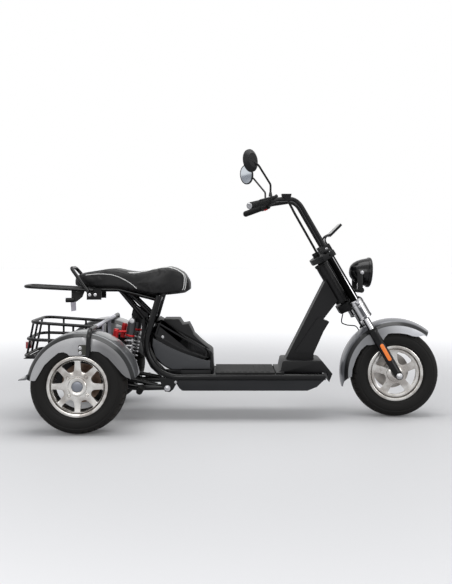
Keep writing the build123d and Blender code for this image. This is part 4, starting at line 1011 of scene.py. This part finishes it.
def banded_chrome(name, painted_bands):
    """Chrome with painted reflections: bands of painted light and shade run along the leg, by place
    across it.
    """
    stops = [(place, tint(warm, warm, blue)) for place, warm, blue in painted_bands]
    metal = Finish(name, Metallic=1.0)
    ahead = (metal.x - LEG.x * MM) * AHEAD.x + (metal.z - LEG.z * MM) * AHEAD.z
    share = ahead / BAND_WIDTH + 0.5
    metal.set(Base_Color=metal.node("ShaderNodeValToRGB", {"stops": stops}, {"Fac": share}))
    metal.set(Roughness=metal.noise(30.0) * 0.06 + 0.08)
    return metal


# Each band: its place across the leg, its red and green, its blue. The bands are painted
# reflections of light and shade, and the leg's bright band is a painted highlight.
COVER_PAINTED_REFLECTIONS = [(0.0, 60, 62), (0.16, 150, 152), (0.3, 216, 218), (0.4, 80, 82), (0.52, 120, 124),
               (0.72, 232, 234), (0.86, 50, 52), (0.95, 90, 92)]
TUBE_PAINTED_REFLECTIONS = [(0.28, 30, 31), (0.36, 90, 92), (0.44, 245, 246), (0.56, 250, 250), (0.62, 110, 112),
              (0.72, 36, 37)]
LEG_PAINTED_HIGHLIGHT = [(0.3, 10, 10), (0.59, 14, 14), (0.61, 200, 202), (0.63, 200, 202), (0.65, 12, 12),
             (0.78, 8, 8)]
# The covers and tubes get painted reflections, and the black leg a painted highlight stripe.
cover_chrome = banded_chrome("fork_cover_chrome", COVER_PAINTED_REFLECTIONS)
tube_chrome = banded_chrome("fork_tube_chrome", TUBE_PAINTED_REFLECTIONS)
leg_black_painted_highlight = banded_chrome("fork_leg_black", LEG_PAINTED_HIGHLIGHT)
print("leg foot", tuple(round(v) for v in LEG))

# %% [markdown]
# Cover, tube, leg and seal share one axis, so each is a single profile on the lathe, given as
# radius and height along the leg. The slider keeps the frame's form, with its edges eased.

# %% Fork covers, tubes and sliders


def fork_cover(name):
    """A stepped chrome cover with a rolled lower edge and a groove near its top."""
    profile = [(22.5, 334), (36, 334), (38.5, 336), (38.5, 344), (37, 346), (36.4, 349), (37, 352),
               (37, 408), (35.5, 410), (35.5, 413), (37, 415), (37, 430), (33, 438), (22.5, 438)]
    return turned(name, profile, LEG, UP, 64, closed=True)


def fork_tube(name):
    """The bright moving tube between the slider and the cover."""
    return turned(name, [(0, 101), (18, 101), (18, 372), (0, 372)], LEG, UP, 48)


def fork_leg(name):
    """The thicker black leg between the two yokes, with its chamfered end."""
    profile = [(0, 371), (18, 372), (22, 376), (22, 712), (20.5, 716), (0, 716)]
    return turned(name, profile, LEG, UP, 48)


def seal(name):
    """The dust seal on top of the slider."""
    profile = [(18.3, 260), (25, 260), (26, 263), (25.5, 267), (21, 271), (18.3, 271)]
    return turned(name, profile, LEG, UP, 48, closed=True)


done(near_and_far(fork_cover, "fork_covers_chrome"), cover_chrome, "steering",
     ["fork_covers"])
done(near_and_far(fork_tube, "fork_tubes_chrome"), tube_chrome, "steering",
     ["fork_tubes"])
done(near_and_far(fork_leg, "fork_legs"), leg_black_painted_highlight, "steering")
done(near_and_far(seal, "fork_seals"), grip_rubber, "steering")
slider = eased(merged_copy("fork_sliders", "fork_sliders_dressed"), 2.0, 3, 35)
done(slider, frame_black, "steering", ["fork_sliders"])

# %% [markdown]
# A domed nut closes each end of the front axle. Higher up on each slider sits an amber reflector: a
# stadium outline drawn round two centres, pushed to its thickness and eased into a dome.

# %% Axle nuts and the reflectors


def axle_end(name):
    """A domed nut over a washer on the outside of the slider."""
    place = Vector((FRONT_AXLE.x, -100, FRONT_AXLE.z))
    disc = [(0, 24), (15, 24), (15, 26.5), (13.5, 27.5), (0, 27.5)]
    dome = [(0, 27), (12, 27), (12, 32), (9, 36), (4, 38), (0, 38.5)]
    washer = turned(name, disc, place, -ACROSS, 40)
    nut = turned(name + "_nut", dome, place, -ACROSS, 12)
    return join(name, washer, nut)


def amber_bar(name):
    """A stadium-shaped reflector with a domed front."""
    centre = at_head(FORK_OFFSET, -126, 137)
    half_width, half_long, steps = 9.5, 38, 8
    outline = []
    for end, start in ((1, 0), (-1, 180)):
        for step in range(steps + 1):
            swing = math.radians(start + 180 * step / steps)
            rise = math.sin(swing) * half_width + end * half_long
            outline.append(centre + AHEAD * math.cos(swing) * half_width + UP * rise)
    bar = pushed(name, outline, (0, 5, 0))
    return eased(bar, 1.6, 3, 40)


done(near_and_far(axle_end, "axle_nuts"), bright_steel, "steering", ["front_axle"])
done(near_and_far(amber_bar, "reflectors"), reflector_amber, "steering",
     ["fork_reflectors"])

# %% [markdown]
# The headlight is a deep bowl with a rolled ring and a bulging lens whose edge has flutes. The
# lens is pale and glossy, over a bright reflector.

# %% Headlight
LAMP = Vector((700, 0, 740))
LAMP_DROOP = math.radians(4)
LAMP_LINE = Vector((math.cos(LAMP_DROOP), 0, -math.sin(LAMP_DROOP)))
FLUTE_FACES = 72
FLUTE_TALL = 0.0014
BOWL = [(0, -92), (16, -91), (30, -86), (44, -74), (56, -56), (65, -34), (71, -12), (73, 0),
        (70, 1), (67, -10), (60, -34), (50, -56), (38, -72), (20, -84), (0, -88)]
RING = [(66, -3), (72, -4), (76, -2), (77.5, 3), (77.5, 9), (76, 13), (72, 15.5), (68, 15),
        (67, 11), (67, 4)]
DISH = [(0, -50), (24, -44), (44, -28), (58, -8), (66.5, 6)]
LENS = [(0, 24), (18, 23.4), (36, 21.6), (52, 18.4), (62, 14.5), (67, 10), (67, 7), (60, 7),
        (40, 10), (0, 12)]
bowl = turned("headlight_bowl", BOWL, LAMP, LAMP_LINE, 72)
ring = turned("headlight_ring", RING, LAMP, LAMP_LINE, 96, closed=True)
done(join("headlight_shell_dressed", bowl, ring), frame_black, "steering",
     ["headlight_shell"], 40)
reflector_dish = turned("headlight_reflector", DISH, LAMP, LAMP_LINE)
done(reflector_dish, chrome, "steering")
lens = turned("headlight_glass", LENS, LAMP, LAMP_LINE, FLUTE_FACES)
only(lens)
bpy.ops.object.mode_set(mode="EDIT")


def on_flute(face):
    """Whether a face of the lens's edge stands proud: every other one does."""
    spot = face.calc_center_median() / MM - LAMP
    along = spot.dot(LAMP_LINE)
    radius = (spot - LAMP_LINE * along).length
    turn = math.atan2(spot.y, spot.z) % math.tau
    number = int(turn / (math.tau / FLUTE_FACES) + 0.01)
    return 52 < radius < 67 and along > 12 and number % 2 == 0


pick("faces", on_flute)
bpy.ops.mesh.extrude_region_shrink_fatten(TRANSFORM_OT_shrink_fatten={"value": FLUTE_TALL})
bpy.ops.object.mode_set(mode="OBJECT")
done(lens, white_lamp, "steering", ["headlight_lens"], 50)

# %% [markdown]
# The lamp hangs in two strap arms that bow out round it. They come from the frame, and their edges
# are rolled. A round turn signal sits outside each strap, in a black shell with a dark lens.

# %% Lamp straps and turn signals
straps = eased(merged_copy("headlight_bracket", "lamp_straps"), 1.2, 2, 40)
done(straps, bracket_black, "steering", ["headlight_bracket"])
PIVOT = Vector((660, -78.6, 742))


def pivot_bolt(name):
    """The bolt that the near strap turns on."""
    return bolt(name, PIVOT, -ACROSS, 7, 6)


def signal(name):
    """A bullet-shaped shell round a shallow lens, on its stem."""
    place = Vector((650, 0, 654))
    stem = turned(name, [(0, 79), (6.5, 79), (5.5, 84), (5.5, 93), (0, 93)], place, -ACROSS, 24)
    bullet = [(0, 88), (9, 89), (13, 93), (14, 99), (14, 110), (13, 112), (0, 112)]
    shell = turned(name + "_shell", bullet, place, -ACROSS, 40)
    return join(name, stem, shell)


done(near_and_far(pivot_bolt, "lamp_pivot_bolts"), bright_steel, "steering")
done(near_and_far(signal, "turn_signal_shells"), bracket_black, "steering",
     ["turn_signals"])

# %% [markdown]
# The grips are soft rubber sleeves with fine rings, and each ends in a silver weight. The levers
# and switch housings keep the form of the frame with their edges rounded, and gain their buttons.

# %% Grips, housings and levers
GRIP_START = Vector((172, -228, 1089))
GRIP_END = Vector((83, -340, 1061))
GRIP_LINE = (GRIP_END - GRIP_START).normalized()
GRIP_LONG = (GRIP_END - GRIP_START).length
GRIP_RINGS = 16


def grip(name):
    """A ringed rubber sleeve with a collar at its inner end."""
    profile = [(0, 0), (18.5, 0), (19.5, 1), (19.5, 5), (18.5, 6), (16, 7)]
    for number in range(GRIP_RINGS):
        start = 9 + number * (GRIP_LONG - 20) / GRIP_RINGS
        profile += [(16, start), (16.6, start + 1), (16.6, start + 6), (16, start + 7)]
    profile += [(16, GRIP_LONG - 6), (17, GRIP_LONG - 5), (17, GRIP_LONG), (0, GRIP_LONG)]
    return turned(name, profile, GRIP_START, GRIP_LINE, 32)


def bar_weight(name):
    """The bright end weight, with a shallow dimple."""
    profile = [(0, 0), (14, 0), (15, 1.5), (15, 9), (13, 11), (5, 11), (4, 9.5), (0, 9.5)]
    return turned(name, profile, GRIP_END - GRIP_LINE * 1.5, GRIP_LINE, 32)


done(near_and_far(grip, "bar_grips"), grip_rubber, "steering", ["handle_grips"])
done(near_and_far(bar_weight, "bar_weights"), bright_steel, "steering")
for node, width in (("hand_controls", 1.5), ("reservoirs", 1.8)):
    piece = eased(merged_copy(node, node + "_dressed"), width, 3, 40)
    done(piece, bracket_black, "steering", [node])
button_red = grained_plastic("button_red", tint(186, 24, 24), 0.35)
FAR_LINE = Vector((GRIP_LINE.x, -GRIP_LINE.y, GRIP_LINE.z))
FAR_POD = Vector((GRIP_START.x, -GRIP_START.y, GRIP_START.z)) - FAR_LINE * 22
DOWNWARD = Vector((0, -0.3, -0.95))
DOWNWARD = (DOWNWARD - FAR_LINE * DOWNWARD.dot(FAR_LINE)).normalized()
BUTTON = [(0, 16), (5, 16), (5, 21.5), (4, 23), (0, 23)]
buttons = [turned("button" + str(i), BUTTON, FAR_POD - FAR_LINE * inboard, DOWNWARD, 20)
           for i, inboard in enumerate((0, 14))]
done(join("kill_buttons", *buttons), button_red, "steering")

# %% [markdown]
# A mirror is a black dome with silvered glass set in its flat side. Each head is swung in about
# the end of its stalk, so that the rider's eye meets its glass. The glass is a thin oval: its
# outline is drawn with the head's two half widths, filled and pushed a little.

# %% Mirrors
glass_silver = satin_metal("mirror_glass", tint(206, 212, 218), 0.03)
MIRROR_TILT = math.radians(-6)
MIRROR_TURN = math.radians(48)
STALK_END_X, STALK_END_Y, STALK_END_Z = 0.096, 0.3, 1.276
GLASS_STEPS = 48


def mirror_glass(name):
    """The oval glass on the rider's side of the near head."""
    centre = Vector((86, -300, 1279))
    back = Vector((-math.cos(MIRROR_TILT), 0, math.sin(MIRROR_TILT)))
    tall = Vector((math.sin(MIRROR_TILT), 0, math.cos(MIRROR_TILT)))
    outline = []
    for step in range(GLASS_STEPS):
        swing = math.tau * step / GLASS_STEPS
        oval = ACROSS * math.cos(swing) * 40 + tall * math.sin(swing) * 49
        outline.append(centre + back * 8.2 + oval)
    return eased(pushed(name, outline, back * 0.9), 0.4, 2, 40)


def turned_in(piece, side):
    """Swing one head about the end of its stalk, towards the rider."""
    only(piece)
    bpy.ops.object.mode_set(mode="EDIT")
    pick("faces", lambda face: face.calc_center_median().y * side > 0)
    bpy.ops.transform.rotate(value=-side * MIRROR_TURN, orient_axis="Z",
                             center_override=(STALK_END_X, side * STALK_END_Y, STALK_END_Z))
    bpy.ops.object.mode_set(mode="OBJECT")
    return piece


heads = eased(merged_copy("mirror_heads", "mirror_domes"), 3.0, 4, 40)
for side in (-1, 1):
    turned_in(heads, side)
done(heads, shell_black, "steering", ["mirror_heads"])
glasses = near_and_far(mirror_glass, "mirror_glasses")
for side in (-1, 1):
    turned_in(glasses, side)
done(glasses, glass_silver, "steering")

# %% [markdown]
# The display and the two yokes keep the frame's form with their edges eased. Each yoke pinches the
# leg with bolts from the side, and a round cap closes the top of each leg.

# %% Display and yokes
panel = eased(merged_copy("display", "display_dressed"), 2.0, 3, 40)
done(panel, screen_dark, "steering", ["display"])
for node, width in (("upper_clamp", 2.5), ("steering_stem", 2.5)):
    piece = eased(merged_copy(node, node + "_dressed"), width, 3, 40)
    done(piece, bracket_black, "steering", [node])


def yoke_bolts(name):
    """The clamp bolts on the near side of both yokes and on the riser block."""
    spots = [(46, -128, 698), (46, -138.6, 404), (46, -138.6, 424), (54, -86, 730)]
    bolts = [bolt(name + str(i), at_head(*spot), -ACROSS) for i, spot in enumerate(spots)]
    return join(name, *bolts)


def leg_cap(name):
    """The round cap on top of the fork leg."""
    profile = [(0, 715), (20, 715), (21, 717), (21, 726), (19, 728), (10, 728), (9, 726), (0, 726)]
    return turned(name, profile, LEG, UP, 24)


done(near_and_far(yoke_bolts, "yoke_bolts"), bright_steel, "steering")
done(near_and_far(leg_cap, "leg_caps"), bracket_black, "steering")

# %% [markdown]
# The seat is one long saddle of foam under vinyl. A plain block would look hard, so the CAD solid
# is remeshed into small even squares and blown up like a cushion by the cloth solver. The vinyl
# itself is a fine cell grain with wider worn patches.

# %% Vinyl of the seat
vinyl = Finish("seat_vinyl", Specular_IOR_Level=0.28)
creases = vinyl.cells(620.0)
worn = vinyl.noise(7.0, 4.0)
vinyl.set(Base_Color=vinyl.mix(worn.step(0.4, 0.8), tint(15, 15, 16), tint(25, 24, 24)))
vinyl.set(Roughness=worn * 0.14 + 0.36)
vinyl.bump(creases * 0.7 + vinyl.noise(160.0, 3.0) * 0.5, 0.00035, 0.6)
piping_white = grained_plastic("piping_white", tint(214, 214, 212), 0.4, 1500.0, 0.0001)

# %% [markdown]
# The block's upper part starts a little lower, since the pad swells. It is remeshed, smoothed and
# blown, and no point may move further than the cap, so that the cushion stays in its place. The
# result is applied, and one subdivision takes the facets out.

# %% Cushion of the seat
UPPER_PART = 0.70
SWELL_ROOM = 0.002
COARSE, FINE = 0.008, 0.006
CLOTH_STEPS = 20
PRESSURE = 4
MOVE_CAP = 0.007
seat = merged_copy("seat", "seat_cushion")
for vertex in seat.data.vertices:
    vertex.co.z -= SWELL_ROOM * (vertex.co.z > UPPER_PART)
voxel = FINE
modifier(seat, "REMESH", mode="VOXEL", voxel_size=voxel, adaptivity=0)
modifier(seat, "SMOOTH", factor=0.8, iterations=14)
before = [vertex.co.copy() for vertex in seat.data.vertices]
only(seat)
cloth = seat.modifiers.new("cloth", "CLOTH")
cloth.settings.quality = 5
cloth.settings.use_pressure = True
cloth.settings.uniform_pressure_force = PRESSURE
cloth.settings.effector_weights.gravity = 0
for tick in range(1, CLOTH_STEPS + 1):
    bpy.context.scene.frame_set(tick)
bpy.ops.object.modifier_apply(modifier=cloth.name)
bpy.context.scene.frame_set(1)
for vertex, start in zip(seat.data.vertices, before):
    move = vertex.co - start
    if move.length > MOVE_CAP:
        vertex.co = start + move * (MOVE_CAP / move.length)
print("cushion points", len(seat.data.vertices))
modifier(seat, "SUBSURF", levels=1, render_levels=1)
done(seat, vinyl, "chassis", ["seat"], 60)

# %% [markdown]
# White piping follows the seams of the cover. The crown's seam lies in an upright plane on each
# side: it runs along the top and down the nose, so rays shot inwards in that plane find it. The
# pillion's seam is seen from the side, so its points are shot from there. A thin round line lies
# through the places that the rays hit, and the far side gets the mirror image.

# %% Piping
PIPING_THICK = 0.0016
PROUD = 0.0007
FAR_OFF = 500
CROWN_MIDDLE = Vector((-330, 0, 660))
CROWN_LINES = [-90, -97]
CROWN_FROM, CROWN_TO, CROWN_STEPS = 157, -4, 40
PILLION_SEAM = [(-742, 727), (-712, 731), (-676, 734), (-640, 734), (-605, 731), (-575, 722),
                (-546, 710), (-521, 696), (-496, 680), (-476, 662)]


def shot(origin, direction):
    """Where a ray in millimetres meets the cushion, a little proud of its cover."""
    hit, place, normal, _ = seat.ray_cast(Vector(origin) * MM, Vector(direction))
    return (place + normal * PROUD) if hit else None


def piping(name):
    """The seams on the near side: two lines round the crown and one along the pillion."""
    seams = []
    for y in CROWN_LINES:
        spots = []
        for number in range(CROWN_STEPS + 1):
            swing = math.radians(CROWN_FROM + (CROWN_TO - CROWN_FROM) * number / CROWN_STEPS)
            outward = Vector((math.cos(swing), 0, math.sin(swing)))
            middle_point = CROWN_MIDDLE + Vector((0, y, 0))
            spots.append(shot(middle_point + outward * FAR_OFF, -outward))
        seams.append((str(y), spots))
    seams.append(("_pillion", [shot((x, -FAR_OFF, z), ACROSS) for x, z in PILLION_SEAM]))
    lines = []
    for ending, spots in seams:
        found = [spot for spot in spots if spot is not None]
        lines.append(thread(name + ending, found, PIPING_THICK, 8))
    return join(name, *lines)


done(near_and_far(piping, "seat_piping"), piping_white, "chassis", sharp=60)
